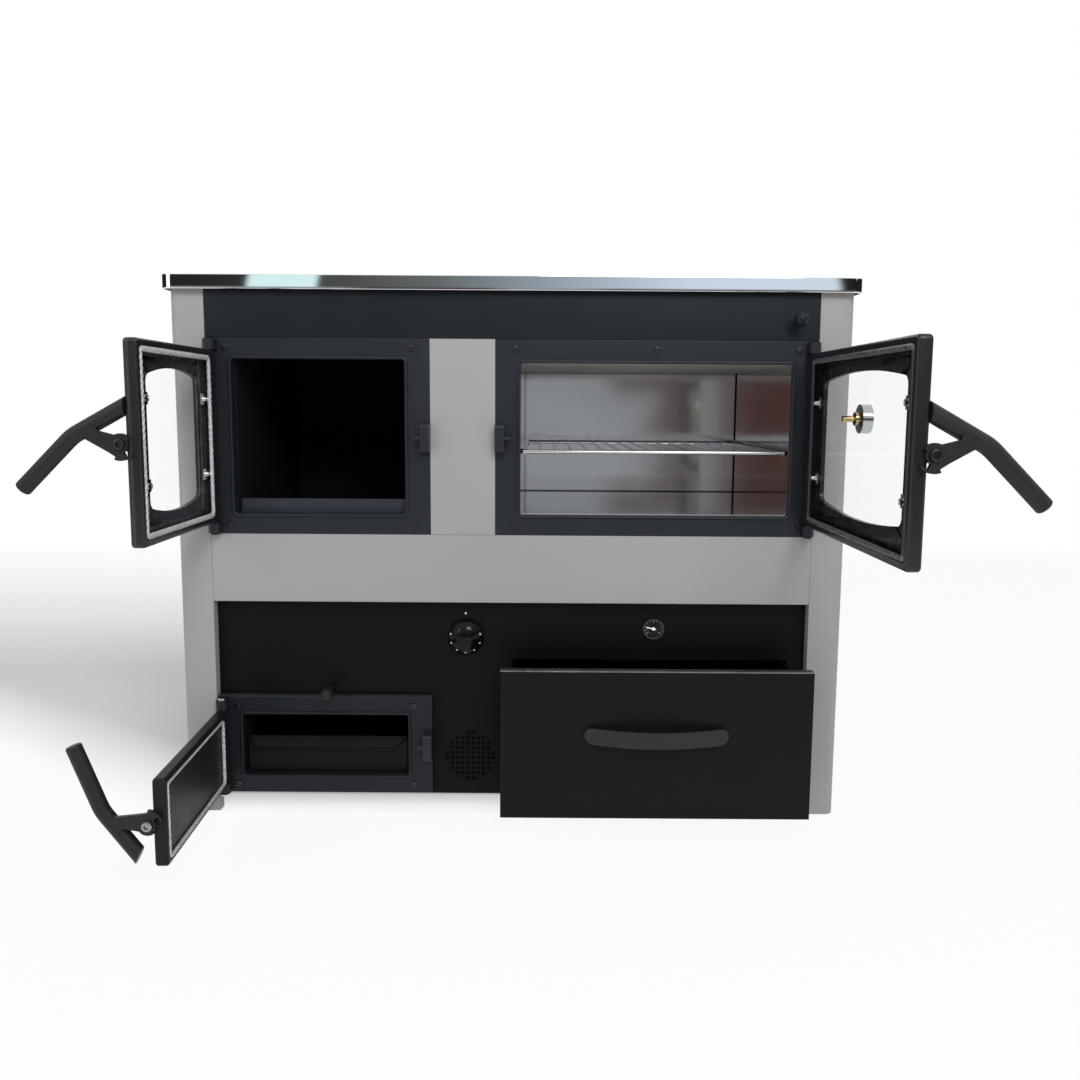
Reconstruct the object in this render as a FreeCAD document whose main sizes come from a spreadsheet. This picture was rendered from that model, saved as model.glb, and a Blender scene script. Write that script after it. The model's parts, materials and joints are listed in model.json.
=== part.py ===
import FreeCAD, Part
import Sketcher
import os
import re

# Wood cookstove with a water jacket round the firebox, an oven beside it,
# an ash door with its pan and a wood drawer below.
# Millimetres. X runs to the right, Y to the back, Z up; the floor is Z = 0 and
# Y = 0 is the plane of the grey front panels. The three doors stand open.
# Each file is written about the middle of the floor area that the open stove takes up.

Vector = FreeCAD.Vector
Rotation = FreeCAD.Rotation

SIZES = [
    # Casing
    ("body_width", 1044), ("body_depth", 600), ("panel_top", 838),
    ("floor_gap", 4), ("flange", 53), ("rear_flange", 30),
    ("sheet_gauge", 1.5), ("bend_radius", 15), ("fold_radius", 1.2),
    ("recess", 20), ("base_level", 28), ("base_gauge", 3),
    ("foot_radius", 20), ("foot_pad", 8), ("stem_radius", 6), ("foot_inset", 60), ("foot_set", 130),
    # Polished rail and hob
    ("rail_drop", 10), ("rail_height", 22), ("rail_side", 9), ("rail_front", 15),
    ("rail_wall", 3), ("rail_ledge", 45), ("rail_corner", 18), ("rail_edge", 1.2),
    ("hob_gauge", 8), ("hob_gap", 1), ("ring_x", -296), ("ring_y", 230),
    ("ring_radius", 125), ("ring_gauge", 5), ("ring_land", 9), ("lid_radius", 70),
    ("lid_gauge", 3), ("lid_land", 8), ("lift_gap", 0.6),
    ("flue_x", 390), ("flue_y", 490), ("flue_radius", 75), ("flue_wall", 5),
    ("flue_height", 45), ("flue_flange", 98), ("flue_flange_gauge", 6),
    # Front panels and frames
    ("pillar_left", -126), ("pillar_width", 100.5), ("frame_base", 455.5),
    ("frame_top", 757), ("mid_base", 348), ("frame_gauge", 10),
    ("lip_margin", 34), ("lip_low", 27), ("fire_lip_high", 27), ("oven_lip_high", 31),
    ("lip_rise", 3), ("lip_wall", 5), ("lip_round", 2.2),
    ("lip_corner", 9), ("ash_face", 6), ("ash_base", 33), ("ash_top", 193),
    ("ash_lip", 25), ("ash_rim", 7), ("screw_inset_x", 30), ("screw_inset_z", 15),
    ("screw_head", 5), ("screw_head_gauge", 2.4), ("screw_shank", 2.5),
    ("screw_fit", 0.1),
    # Doors, hinges and latches
    ("door_open", 90), ("ash_open", 88), ("door_gauge", 18), ("door_gap", 5), ("door_margin", 20),
    ("axis_inset", 10), ("edge_gap", 26), ("door_rim", 9), ("hinge_rim", 24),
    ("door_skin", 6), ("ash_skin", 14), ("door_edge", 4), ("door_corner", 6),
    ("win_hinge", 55), ("win_free", 53), ("win_low", 46), ("win_high", 44),
    ("win_sag", 11), ("win_corner", 12), ("glass_gauge", 4), ("glass_lap", 12),
    ("gasket_width", 3.5), ("gasket_depth", 6), ("gasket_slack", 0.2),
    ("clip_inset", 36), ("clip_low", 76), ("clip_high", 74), ("clip_gauge", 1.6),
    ("clip_height", 16), ("clip_over", 6), ("clip_tail", 7), ("clip_boss", 4.5),
    ("clip_screw", 2), ("clip_head", 4), ("clip_head_gauge", 3.8),
    ("clip_depth", 6), ("thread_fit", 0.04),
    ("pin_radius", 4), ("pin_fit", 0.08), ("pin_seat", 0.03), ("pin_depth", 18),
    ("pin_head", 6), ("pin_head_gauge", 3), ("lug_height", 16), ("lug_gap", 1),
    ("pivot_out", 14), ("boss_radius", 10), ("boss_length", 22),
    ("lever_gap", 1), ("lever_gauge", 6), ("pivot_radius", 4), ("pivot_fit", 0.06),
    ("pivot_depth", 18), ("pivot_head", 7), ("pivot_head_gauge", 3.6),
    ("latch_radius", 14), ("keeper_pin", 3), ("lobe_radius", 10), ("shoulder_radius", 13.5),
    ("shoulder_end", 330),
    ("finger_in", 17.6), ("finger_out", 20.5), ("finger_tip", 40),
    ("finger_root", 66), ("finger_tail", 112),
    ("grip_radius", 10.5), ("grip_short", 87), ("grip_long", 94), ("grip_bend", 16),
    ("grip_bend_radius", 60), ("grip_slope", 29.3), ("grip_start_y", 13.4),
    ("grip_start_z", 51.9), ("grip_inset", 5), ("grip_edge", 3), ("ash_turn", 24),
    ("keeper_width", 14), ("keeper_gauge", 4), ("keeper_height", 44),
    ("keeper_round", 6), ("keeper_out", 20), ("keeper_tip", 2),
    # Oven
    ("oven_depth", 455), ("oven_wall", 1.5), ("oven_flange", 14),
    ("rack_level", 585), ("rack_wire", 3), ("rack_cross", 2), ("rack_count", 15),
    ("rack_gap", 2), ("rack_depth", 418), ("rack_start", 14),
    ("runner_width", 9), ("runner_gauge", 1.5), ("runner_play", 1.5),
    ("dial_radius", 19), ("dial_depth", 13), ("dial_along", 230), ("dial_rise", 36),
    ("dial_stem", 4), ("dial_stem_length", 24), ("stem_fit", 1),
    ("needle_gauge", 0.8), ("needle_width", 1.6), ("needle_hub", 2.6), ("needle_gap", 0.8),
    # Firebox, boiler and ash
    ("jacket_low", 189), ("jacket_high", 742), ("jacket_left", -460),
    ("jacket_right", -132), ("jacket_front", 22), ("jacket_depth", 440),
    ("jacket_width", 32), ("jacket_wall", 4), ("ledge_width", 12), ("ledge_gauge", 6),
    ("pipe_radius", 19.5), ("pipe_thread", 20.95), ("pipe_wall", 3.2), ("pipe_out", 42), ("flow_level", 690),
    ("return_level", 262), ("pipe_x", -296), ("guard_rise", 21.5), ("guard_gauge", 6),
    ("grate_gauge", 18), ("grate_gap", 4), ("grate_bars", 9), ("grate_slot", 12),
    ("grate_front", 56), ("grate_length", 345), ("shaker_x", -289),
    ("shaker_rod", 5), ("shaker_fit", 1), ("shaker_rod_out", 12),
    ("shaker_slim", 6), ("shaker_fat", 9.5), ("shaker_length", 40),
    ("chamber_gauge", 2), ("chamber_gap", 3), ("chamber_depth", 430),
    ("pan_gap", 4), ("pan_height", 60), ("pan_depth", 400), ("pan_gauge", 1.5),
    ("pan_set_back", 22), ("pan_lip", 14), ("pan_lip_gauge", 2),
    # Lower front fittings
    ("stat_x", -73), ("stat_z", 289), ("stat_radius", 29), ("stat_dome", 38),
    ("stat_edge", 1.5), ("stat_height", 17), ("stat_hole", 7),
    ("stat_spindle", 4), ("stat_gap", 1), ("stat_box", 46), ("stat_box_depth", 32),
    ("gauge_x", 227), ("gauge_z", 304), ("gauge_bezel", 17.2), ("gauge_body", 15.6),
    ("gauge_out", 5), ("gauge_in", 30), ("gauge_face", 15.2), ("gauge_rim", 3),
    ("lens_gauge", 1), ("fit_play", 0.4),
    ("vent_x", -66), ("vent_z", 91.5), ("vent_radius", 41), ("vent_pitch", 8.3),
    ("vent_hole", 5.2), ("vent_count", 10), ("vent_lap", 8), ("vent_gauge", 1.2),
    ("flap_gauge", 2), ("flap_gap", 3), ("flap_margin", 6), ("flap_pin", 3),
    ("ear_gap", 2), ("ear_width", 6), ("ear_reach", 8),
    # Wood drawer
    ("drawer_left", -14), ("drawer_right", 461), ("drawer_top", 259),
    ("drawer_front", 20), ("drawer_pull", 82), ("drawer_depth", 470),
    ("drawer_box_left", 6), ("drawer_box_right", 438), ("drawer_box_top", 249),
    ("drawer_play", 4), ("drawer_gauge", 1.5), ("runner_rise", 5), ("runner_strip", 18),
    ("bow_width", 219), ("bow_height", 25), ("bow_out", 27), ("bow_gauge", 4),
    ("bow_z", 161), ("bow_foot", 14),
    # Flue damper
    ("damper_inset", 35), ("damper_z", 788), ("damper_rod", 4), ("damper_fit", 1),
    ("damper_ball", 11), ("damper_out", 26), ("damper_plate", 3),
    ("damper_width", 130), ("damper_length", 120), ("damper_port", 52),
    ("guide_gauge", 3), ("guide_edge", 10),
]
ALIASES = set(name for name, number in SIZES)

doc = FreeCAD.newDocument("Cookstove")
sheet = doc.addObject("Spreadsheet::Sheet", "Sizes")
for line, (alias, number) in enumerate(SIZES, 1):
    sheet.set("A%d" % line, alias)
    sheet.set("B%d" % line, str(number))
    sheet.setAlias("B%d" % line, alias)
doc.recompute()

NODES = []


def bind(text):
    """Write each named size of an expression as a cell of the sheet."""
    def cell(hit):
        word = hit.group(0)
        return "Sizes." + word if word in ALIASES else word
    return re.sub(r"[a-z][a-z0-9_]*", cell, str(text))


def value(text):
    """The number that an expression in named sizes stands for."""
    return float(sheet.evalExpression(bind(text)))


def drive(item, prop, text):
    item.setExpression(prop, bind(text))


def seat(item, x="0", y="0", z="0"):
    drive(item, "Placement.Base.x", x)
    drive(item, "Placement.Base.y", y)
    drive(item, "Placement.Base.z", z)
    return item


def node(label, item):
    item.Label = label
    NODES.append(item)
    return item


# Solids from primitives

def box(name, x, y, z):
    """A box from its low and high expressions on each axis."""
    item = doc.addObject("Part::Box", name)
    for prop, pair in (("Length", x), ("Width", y), ("Height", z)):
        drive(item, prop, "(%s) - (%s)" % (pair[1], pair[0]))
    return seat(item, x[0], y[0], z[0])


TURN = {
    "x": Rotation(Vector(0, 1, 0), 90),
    "y": Rotation(Vector(1, 0, 0), -90),
    "z": Rotation(),
}


def rod(name, along, radius, start, length):
    """A cylinder that runs in the positive direction of an axis."""
    item = doc.addObject("Part::Cylinder", name)
    item.Placement = FreeCAD.Placement(Vector(), TURN[along])
    drive(item, "Radius", radius)
    drive(item, "Height", length)
    return seat(item, *start)


def fuse(name, items):
    item = doc.addObject("Part::MultiFuse", name)
    item.Shapes = items
    item.Refine = True
    return item


def group(name, items):
    item = doc.addObject("Part::Compound", name)
    item.Links = items
    return item


def cut(name, base, tools):
    item = doc.addObject("Part::Cut", name)
    item.Base = base
    item.Tool = tools[0] if len(tools) == 1 else group(name + "_tools", tools)
    item.Refine = True
    return item


def runs_along(axis):
    """Pick straight edges that run along an axis."""
    def pick(edge):
        if not isinstance(edge.Curve, Part.Line):
            return False
        return abs(edge.Curve.Direction.dot(axis)) > 0.999
    return pick


def lies_at(axis, place):
    """Pick edges that lie wholly in a plane across an axis."""
    def pick(edge):
        limits = edge.BoundBox
        low = Vector(limits.XMin, limits.YMin, limits.ZMin).dot(axis)
        high = Vector(limits.XMax, limits.YMax, limits.ZMax).dot(axis)
        return abs(low - place) < 0.02 and abs(high - place) < 0.02
    return pick


def ease(name, item, radius, pick):
    """Round the picked edges of a finished solid."""
    doc.recompute()
    size = value(radius)
    edges = enumerate(item.Shape.Edges, 1)
    result = doc.addObject("Part::Fillet", name)
    result.Base = item
    result.Edges = [(place, size, size) for place, edge in edges if pick(edge)]
    return result


EX, EY, EZ = Vector(1, 0, 0), Vector(0, 1, 0), Vector(0, 0, 1)


def soft_box(name, x, y, z, radius, axis):
    return ease(name, box(name + "_block", x, y, z), radius, runs_along(axis))


# Bodies from sketches

def body_of(name):
    return doc.addObject("PartDesign::Body", name)


def plane_of(body, role):
    for item in body.Origin.OriginFeatures:
        if item.Role == role:
            return item
    raise ValueError("no plane " + role)


def sketch_on(body, name, role, level):
    sketch = body.newObject("Sketcher::SketchObject", name)
    sketch.AttachmentSupport = [(plane_of(body, role), "")]
    sketch.MapMode = "FlatFace"
    drive(sketch, "AttachmentOffset.Base.z", level)
    return sketch


def tie(sketch, geometry, end, point):
    """Hold a point of a sketch at two expressions, measured from the origin."""
    for kind, text in (("DistanceX", point[0]), ("DistanceY", point[1])):
        rule = Sketcher.Constraint(kind, -1, 1, geometry, end, value(text))
        drive(sketch, "Constraints[%d]" % sketch.addConstraint(rule), text)


def outline(body, name, role, points, level="0"):
    """A closed polygon through points given as pairs of expressions."""
    sketch = sketch_on(body, name, role, level)
    spots = [Vector(value(a), value(b), 0) for a, b in points]
    count = len(points)
    for i in range(count):
        sketch.addGeometry(Part.LineSegment(spots[i], spots[(i + 1) % count]), False)
    for i in range(count):
        sketch.addConstraint(Sketcher.Constraint("Coincident", i, 2, (i + 1) % count, 1))
    for i in range(count):
        tie(sketch, i, 1, points[i])
    return sketch


def rectangle(body, name, role, x, y, level="0"):
    corners = [(x[0], y[0]), (x[1], y[0]), (x[1], y[1]), (x[0], y[1])]
    return outline(body, name, role, corners, level)


def circles(body, name, role, centres, radius, level="0"):
    sketch = sketch_on(body, name, role, level)
    for i, centre in enumerate(centres):
        spot = Vector(value(centre[0]), value(centre[1]), 0)
        sketch.addGeometry(Part.Circle(spot, EZ, value(radius)), False)
        tie(sketch, i, 3, centre)
        rule = Sketcher.Constraint("Radius", i, value(radius))
        drive(sketch, "Constraints[%d]" % sketch.addConstraint(rule), radius)
    return sketch


def feature(body, kind, sketch, length, reverse):
    item = body.newObject("PartDesign::" + kind, sketch.Name + "_" + kind.lower())
    item.Profile = sketch
    drive(item, "Length", length)
    item.Reversed = reverse
    doc.recompute()
    return item


def pad(body, sketch, length, reverse=False):
    return feature(body, "Pad", sketch, length, reverse)


def pocket(body, sketch, length, reverse=False):
    return feature(body, "Pocket", sketch, length, reverse)


def revolve(body, name, points):
    """Turn a profile of radius and height about the vertical axis."""
    sketch = outline(body, name, "XZ_Plane", points)
    item = body.newObject("PartDesign::Revolution", name + "_turn")
    item.Profile = sketch
    item.ReferenceAxis = (sketch, ["V_Axis"])
    item.Angle = 360
    doc.recompute()
    return item


def soften(body, base, radius, pick):
    """Round the picked edges of a body's last feature."""
    edges = enumerate(base.Shape.Edges, 1)
    item = body.newObject("PartDesign::Fillet", base.Name + "_soft")
    item.Base = (base, ["Edge%d" % place for place, edge in edges if pick(edge)])
    drive(item, "Radius", radius)
    doc.recompute()
    return item


def upright_at(x, y):
    """Pick the upright edge that stands at a point of the plan."""
    def pick(edge):
        if not runs_along(EZ)(edge):
            return False
        spot = edge.Vertexes[0].Point
        return abs(spot.x - x) < 0.02 and abs(spot.y - y) < 0.02
    return pick


HALF = "(body_width / 2)"
INNER = "(body_width / 2 - flange)"
OVEN_EDGE = "(pillar_left + pillar_width)"
LINER = "(body_width / 2 - sheet_gauge)"
BACK = "(body_depth - sheet_gauge)"
RAIL_LOW = "(panel_top - rail_drop)"
RAIL_TOP = "(panel_top - rail_drop + rail_height)"
DAMPER_X = "(body_width / 2 - flange - damper_inset)"
SHELF = "panel_top"
HOB_LOW = "(panel_top + rail_wall)"
HOB_TOP = "(panel_top + rail_wall + hob_gauge)"
PANEL_BACK = "(recess + sheet_gauge)"


def door_of(name, side, axis, edge, face, low, high, lip_low, lip_high):
    """Where a door hangs: its hinge axis, its reach and its heights."""
    reach = "(%d * ((%s) - (%s)) - edge_gap)" % (side, edge, axis)
    return {
        "name": name, "side": side, "axis": axis, "edge": edge, "face": face,
        "low": low, "high": high, "lip_low": lip_low, "lip_high": lip_high, "reach": reach,
        "axis_y": "(%s - door_gap - door_gauge / 2)" % face,
        "open": "ash_open" if name == "ash" else "door_open",
        "rim": "ash_rim" if name == "ash" else "door_rim",
        "bottom": "(%s + door_margin)" % low, "top": "(%s - door_margin)" % high,
        "middle": "((%s + %s) / 2)" % (low, high),
    }


LEFT_AXIS = "(axis_inset - %s)" % INNER
RIGHT_AXIS = "(%s - axis_inset)" % INNER
FIRE = door_of("firebox", 1, LEFT_AXIS, "pillar_left", "0", "frame_base", "frame_top",
               "lip_low", "fire_lip_high")
OVEN = door_of("oven", -1, RIGHT_AXIS, OVEN_EDGE, "0", "frame_base", "frame_top",
               "lip_low", "oven_lip_high")
ASH = door_of("ash", 1, LEFT_AXIS, "pillar_left", "ash_face", "ash_base", "ash_top",
              "ash_lip", "ash_lip")
DOORS = (FIRE, OVEN, ASH)


def span(door, near, far):
    """A range along a door, measured from its hinge, as low and high X."""
    if door["side"] > 0:
        return (near, far)
    return ("-(%s)" % far, "-(%s)" % near)


def frame_edges(door):
    """The outer X limits of the frame that a door closes on."""
    wall = "-%s" % INNER if door["side"] > 0 else INNER
    return (wall, door["edge"]) if door["side"] > 0 else (door["edge"], wall)


def lip_box(door, inset):
    left, right = frame_edges(door)
    x = ("%s + lip_margin + %s" % (left, inset), "%s - lip_margin - %s" % (right, inset))
    z = ("%s + %s + %s" % (door["low"], door["lip_low"], inset),
         "%s - %s - %s" % (door["high"], door["lip_high"], inset))
    return x, z


def swing(item, door):
    """Hang a piece, drawn from its hinge axis, on the open door."""
    angle = -door["side"] * value(door["open"])
    item.Placement = FreeCAD.Placement(Vector(), Rotation(EZ, angle))
    return seat(item, door["axis"], door["axis_y"], "0")


# Casing

def side_panel(label, side):
    """One bent sheet: side wall, front flange with its return, rear flange."""
    body = body_of(label)

    def x(text):
        return "%d * (%s)" % (side, text)

    points = [
        (x(INNER), "recess"), (x(INNER), "0"), (x(HALF), "0"), (x(HALF), "body_depth"),
        (x(HALF + " - rear_flange"), "body_depth"), (x(HALF + " - rear_flange"), BACK),
        (x(LINER), BACK), (x(LINER), "sheet_gauge"),
        (x(INNER + " + sheet_gauge"), "sheet_gauge"), (x(INNER + " + sheet_gauge"), "recess"),
    ]
    sketch = outline(body, label + "_plan", "XY_Plane", points, "floor_gap")
    wall = pad(body, sketch, "panel_top - floor_gap")
    outer = upright_at(side * value(HALF), 0)
    bend = soften(body, wall, "bend_radius", outer)
    inner = upright_at(side * value(LINER), value("sheet_gauge"))
    bend = soften(body, bend, "bend_radius - sheet_gauge", inner)
    fold = upright_at(side * value(INNER), 0)
    soften(body, bend, "fold_radius", fold)
    return node(label, body)


def folded_panel(label, x, z, holes=()):
    """A front panel with its four edges folded back."""
    body = body_of(label)
    face = rectangle(body, label + "_face", "XZ_Plane", x, z)
    block = pad(body, face, "recess", True)
    hollow_x = (x[0] + " + sheet_gauge", x[1] + " - sheet_gauge")
    hollow_z = (z[0] + " + sheet_gauge", z[1] + " - sheet_gauge")
    inside = rectangle(body, label + "_inside", "XZ_Plane", hollow_x, hollow_z, "-recess")
    tray = pocket(body, inside, "recess - sheet_gauge", True)
    tray = soften(body, tray, "fold_radius", lies_at(EY, 0))
    for i, (centre, radius) in enumerate(holes):
        ring = circles(body, "%s_hole_%d" % (label, i), "XZ_Plane", [centre], radius)
        pocket(body, ring, "recess")
    return node(label, body)


def rear_panel():
    x = ("-" + LINER, LINER)
    plate = box("rear_sheet", x, (BACK + " - sheet_gauge", BACK), ("base_level", "panel_top"))
    holes = []
    for i, level in enumerate(("flow_level", "return_level")):
        start = ("pipe_x", BACK + " - 4 * sheet_gauge", level)
        holes.append(rod("rear_hole_%d" % i, "y", "pipe_radius + 1", start, "8 * sheet_gauge"))
    return node("rear_panel", cut("rear_panel_cut", plate, holes))


def base_plate():
    """Floor sheet of the casing, with two folded strips that carry the drawer."""
    y = (PANEL_BACK, BACK + " - sheet_gauge")
    plate = box("base_sheet", ("-" + LINER, LINER), y, ("base_level - base_gauge", "base_level"))
    z = ("base_level", "base_level + runner_rise")
    left = box("runner_left", ("drawer_box_left + 20", "drawer_box_left + 20 + runner_strip"), y, z)
    right_x = ("drawer_box_right - 20 - runner_strip", "drawer_box_right - 20")
    right = box("runner_right", right_x, y, z)
    return node("base_plate", fuse("base_fuse", [plate, left, right]))


def levelling_feet():
    feet = []
    for i, side in enumerate(("-1", "1")):
        for j, y in enumerate((PANEL_BACK + " + foot_set", BACK + " - foot_inset")):
            x = "%s * (%s - foot_inset)" % (side, HALF)
            pad_disc = rod("foot_pad_%d%d" % (i, j), "z", "foot_radius", (x, y, "0"), "foot_pad")
            length = "base_level - base_gauge"
            stem = rod("foot_stem_%d%d" % (i, j), "z", "stem_radius", (x, y, "0"), length)
            feet.append(fuse("foot_%d%d" % (i, j), [pad_disc, stem]))
    return node("levelling_feet", group("feet_group", feet))


def rail_box(name, inset, z, corner):
    x = ("-%s - rail_side + (%s)" % (HALF, inset), "%s + rail_side - (%s)" % (HALF, inset))
    y = ("%s - rail_front" % inset, "body_depth + rail_side - (%s)" % inset)
    return soft_box(name, x, y, z, corner, EZ)


def top_rail():
    """Polished rail round the hob: a skirt with an inner ledge that carries the plate."""
    z = (RAIL_LOW, RAIL_TOP)
    skirt = rail_box("rail_skirt", "0", z, "rail_corner")
    above = rail_box("rail_above", "rail_wall", (HOB_LOW, RAIL_TOP + " + 5"),
                     "rail_corner - rail_wall")
    below = rail_box("rail_below", "rail_wall", (RAIL_LOW + " - 5", SHELF),
                     "rail_corner - rail_wall")
    open_x = ("-%s + rail_ledge" % HALF, "%s - rail_ledge" % HALF)
    open_y = ("rail_ledge", "body_depth - rail_ledge")
    hole = box("rail_open", open_x, open_y, (RAIL_LOW + " - 5", RAIL_TOP + " + 5"))
    ring = cut("rail_cut", skirt, [above])
    ring = cut("rail_cut_below", ring, [below])
    ring = cut("rail_cut_open", ring, [hole])

    def outer_edge(edge):
        limits = edge.BoundBox
        flat = abs(limits.ZMin - limits.ZMax) < 0.01
        top = abs(limits.ZMax - value(RAIL_TOP)) < 0.01
        low = abs(limits.ZMax - value(RAIL_LOW)) < 0.01
        reach = max(abs(limits.XMin), abs(limits.XMax))
        side = value(HALF + " + rail_side")
        front = value("-rail_front")
        back = value("body_depth + rail_side")
        rim = abs(reach - side) < 0.01 or abs(limits.YMin - front) < 0.01
        return flat and (top or low) and (rim or abs(limits.YMax - back) < 0.01)

    return node("top_rail", ease("rail_eased", ring, "rail_edge", outer_edge))


def hob_plate():
    """Cast hob with a stepped opening over the fire and a flue hole behind."""
    plate = rail_box("hob_block", "rail_wall + hob_gap", (HOB_LOW, HOB_TOP),
                     "rail_corner - rail_wall - hob_gap")
    centre = ("ring_x", "ring_y")
    seat_low = HOB_TOP + " - ring_gauge"
    step = rod("hob_step", "z", "ring_radius + lift_gap", centre + (seat_low,), "ring_gauge + 1")
    well = rod("hob_well", "z", "ring_radius - ring_land", centre + (HOB_LOW + " - 1",),
               "hob_gauge + 2")
    flue = rod("hob_flue", "z", "flue_radius - flue_wall",
               ("flue_x", "flue_y", HOB_LOW + " - 1"), "hob_gauge + 2")
    plate = cut("hob_stepped", plate, [step])
    return node("hob_plate", cut("hob_cut", plate, [well, flue]))


def hob_ring():
    body = body_of("hob_ring")
    points = [
        ("lid_radius - lid_land", "0"), ("ring_radius", "0"), ("ring_radius", "ring_gauge"),
        ("lid_radius + lift_gap", "ring_gauge"), ("lid_radius + lift_gap", "ring_gauge - lid_gauge"),
        ("lid_radius - lid_land", "ring_gauge - lid_gauge"),
    ]
    revolve(body, "hob_ring_profile", points)
    seat(body, "ring_x", "ring_y", HOB_TOP + " - ring_gauge")
    return node("hob_ring", body)


def hob_lid():
    """Lid with the notch that takes the lifter."""
    centre = ("ring_x", "ring_y", HOB_TOP + " - lid_gauge")
    disc = rod("lid_disc", "z", "lid_radius", centre, "lid_gauge")
    x = ("ring_x + lid_radius / 2", "ring_x + lid_radius / 2 + 18")
    z = (HOB_TOP + " - lid_gauge / 2", HOB_TOP + " + 1")
    notch = box("lid_notch", x, ("ring_y - 5", "ring_y + 5"), z)
    return node("hob_lid", cut("lid_cut", disc, [notch]))


def flue_collar():
    body = body_of("flue_collar")
    bore = "flue_radius - flue_wall"
    points = [
        (bore, "0"), ("flue_flange", "0"), ("flue_flange", "flue_flange_gauge"),
        ("flue_radius", "flue_flange_gauge"), ("flue_radius", "flue_height"),
        (bore, "flue_height"),
    ]
    revolve(body, "collar_profile", points)
    seat(body, "flue_x", "flue_y", HOB_TOP)
    return node("flue_collar", body)


# Frames

def screw_spots(door):
    left, right = frame_edges(door)
    rows = (door["low"] + " + screw_inset_z", door["high"] + " - screw_inset_z")
    columns = [left + " + screw_inset_x", right + " - screw_inset_x"]
    if door is OVEN:
        columns.insert(1, "(%s + %s) / 2" % (left, right))
    return [(x, z) for z in rows for x in columns]


def hinge_lug(door, name, low):
    face = door["face"]
    x = (door["axis"] + " - door_gauge / 2", door["axis"] + " + door_gauge / 2")
    z = (low, low + " + lug_height")
    block = box(name + "_block", x, (door["axis_y"], face), z)
    start = (door["axis"], door["axis_y"], low)
    nose = rod(name + "_nose", "z", "door_gauge / 2", start, "lug_height")
    lug = fuse(name + "_lug", [block, nose])
    hole_start = (door["axis"], door["axis_y"], low + " - 1")
    hole = rod(name + "_hole", "z", "pin_radius + pin_seat", hole_start, "lug_height + 2")
    return cut(name, lug, [hole])


def door_frame(door):
    """Cast plate with a raised lip round its opening, hinge lugs and screw holes."""
    name = door["name"]
    face = door["face"]
    left, right = frame_edges(door)
    rear = PANEL_BACK + " - sheet_gauge" if door is ASH else "frame_gauge"
    plate = box(name + "_plate", (left, right), (face, rear), (door["low"], door["high"]))
    lip_x, lip_z = lip_box(door, "0")
    lip = soft_box(name + "_lip", lip_x, (face + " - lip_rise", face), lip_z, "lip_corner", EY)
    top = hinge_lug(door, name + "_lug_top", door["top"] + " + lug_gap")
    low = hinge_lug(door, name + "_lug_low", door["bottom"] + " - lug_gap - lug_height")
    solids = [plate, lip, top, low]
    end = rear
    if door is FIRE:
        end = "jacket_front"
        solids.append(box(name + "_throat", lip_x, (rear, end), lip_z))
    solid = fuse(name + "_frame_fuse", solids)
    hole_x, hole_z = lip_box(door, "lip_wall")
    way = (face + " - lip_rise - 1", end + " + 1")
    opening = soft_box(name + "_opening", hole_x, way, hole_z, "lip_corner - lip_wall", EY)
    tools = [opening]
    for i, (x, z) in enumerate(screw_spots(door)):
        start = (x, face + " - 1", z)
        radius = "screw_shank + screw_fit"
        tools.append(rod("%s_screw_hole_%d" % (name, i), "y", radius, start, rear + " + 2"))
    solid = cut(name + "_frame_cut", solid, tools)
    place = value(face + " - lip_rise")
    bead = ease(name + "_frame_bead", solid, "lip_round", lies_at(EY, place))
    level, ends = value(face), (value(door["low"]), value(door["high"]))
    free = value(door["edge"])

    def rim(edge):
        limits = edge.BoundBox
        if abs(limits.YMin - level) > 0.02 or abs(limits.YMax - level) > 0.02:
            return False
        upright = abs(limits.XMin - free) < 0.02 and abs(limits.XMax - free) < 0.02
        flat = abs(limits.ZMax - limits.ZMin) < 0.02
        return upright or (flat and min(abs(limits.ZMin - end) for end in ends) < 0.02)

    return node(name + "_frame", ease(name + "_frame_eased", bead, "fold_radius", rim))


def frame_screws():
    screws = []
    for door in DOORS:
        rear = PANEL_BACK + " - sheet_gauge" if door is ASH else "frame_gauge"
        for i, (x, z) in enumerate(screw_spots(door)):
            name = "%s_screw_%d" % (door["name"], i)
            head_start = (x, door["face"] + " - screw_head_gauge", z)
            head = rod(name + "_head", "y", "screw_head", head_start, "screw_head_gauge")
            length = "%s - (%s)" % (rear, door["face"])
            shank = rod(name + "_shank", "y", "screw_shank", (x, door["face"], z), length)
            screws.append(fuse(name, [head, shank]))
    return node("frame_screws", group("screw_group", screws))


def hinge_pins():
    pins = []
    for door in DOORS:
        name = door["name"] + "_pin"
        x, y = door["axis"], door["axis_y"]
        low = door["top"] + " - pin_depth"
        high = door["top"] + " + lug_gap + lug_height"
        stem = rod(name + "_top", "z", "pin_radius", (x, y, low), "%s - (%s)" % (high, low))
        head = rod(name + "_top_head", "z", "pin_head", (x, y, high), "pin_head_gauge")
        pins.append(fuse(name + "_upper", [stem, head]))
        low = door["bottom"] + " - lug_gap - lug_height"
        length = "pin_depth + lug_gap + lug_height"
        stem = rod(name + "_low", "z", "pin_radius", (x, y, low), length)
        start = (x, y, low + " - pin_head_gauge")
        head = rod(name + "_low_head", "z", "pin_head", start, "pin_head_gauge")
        pins.append(fuse(name + "_lower", [stem, head]))
    return node("hinge_pins", group("pin_group", pins))


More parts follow.
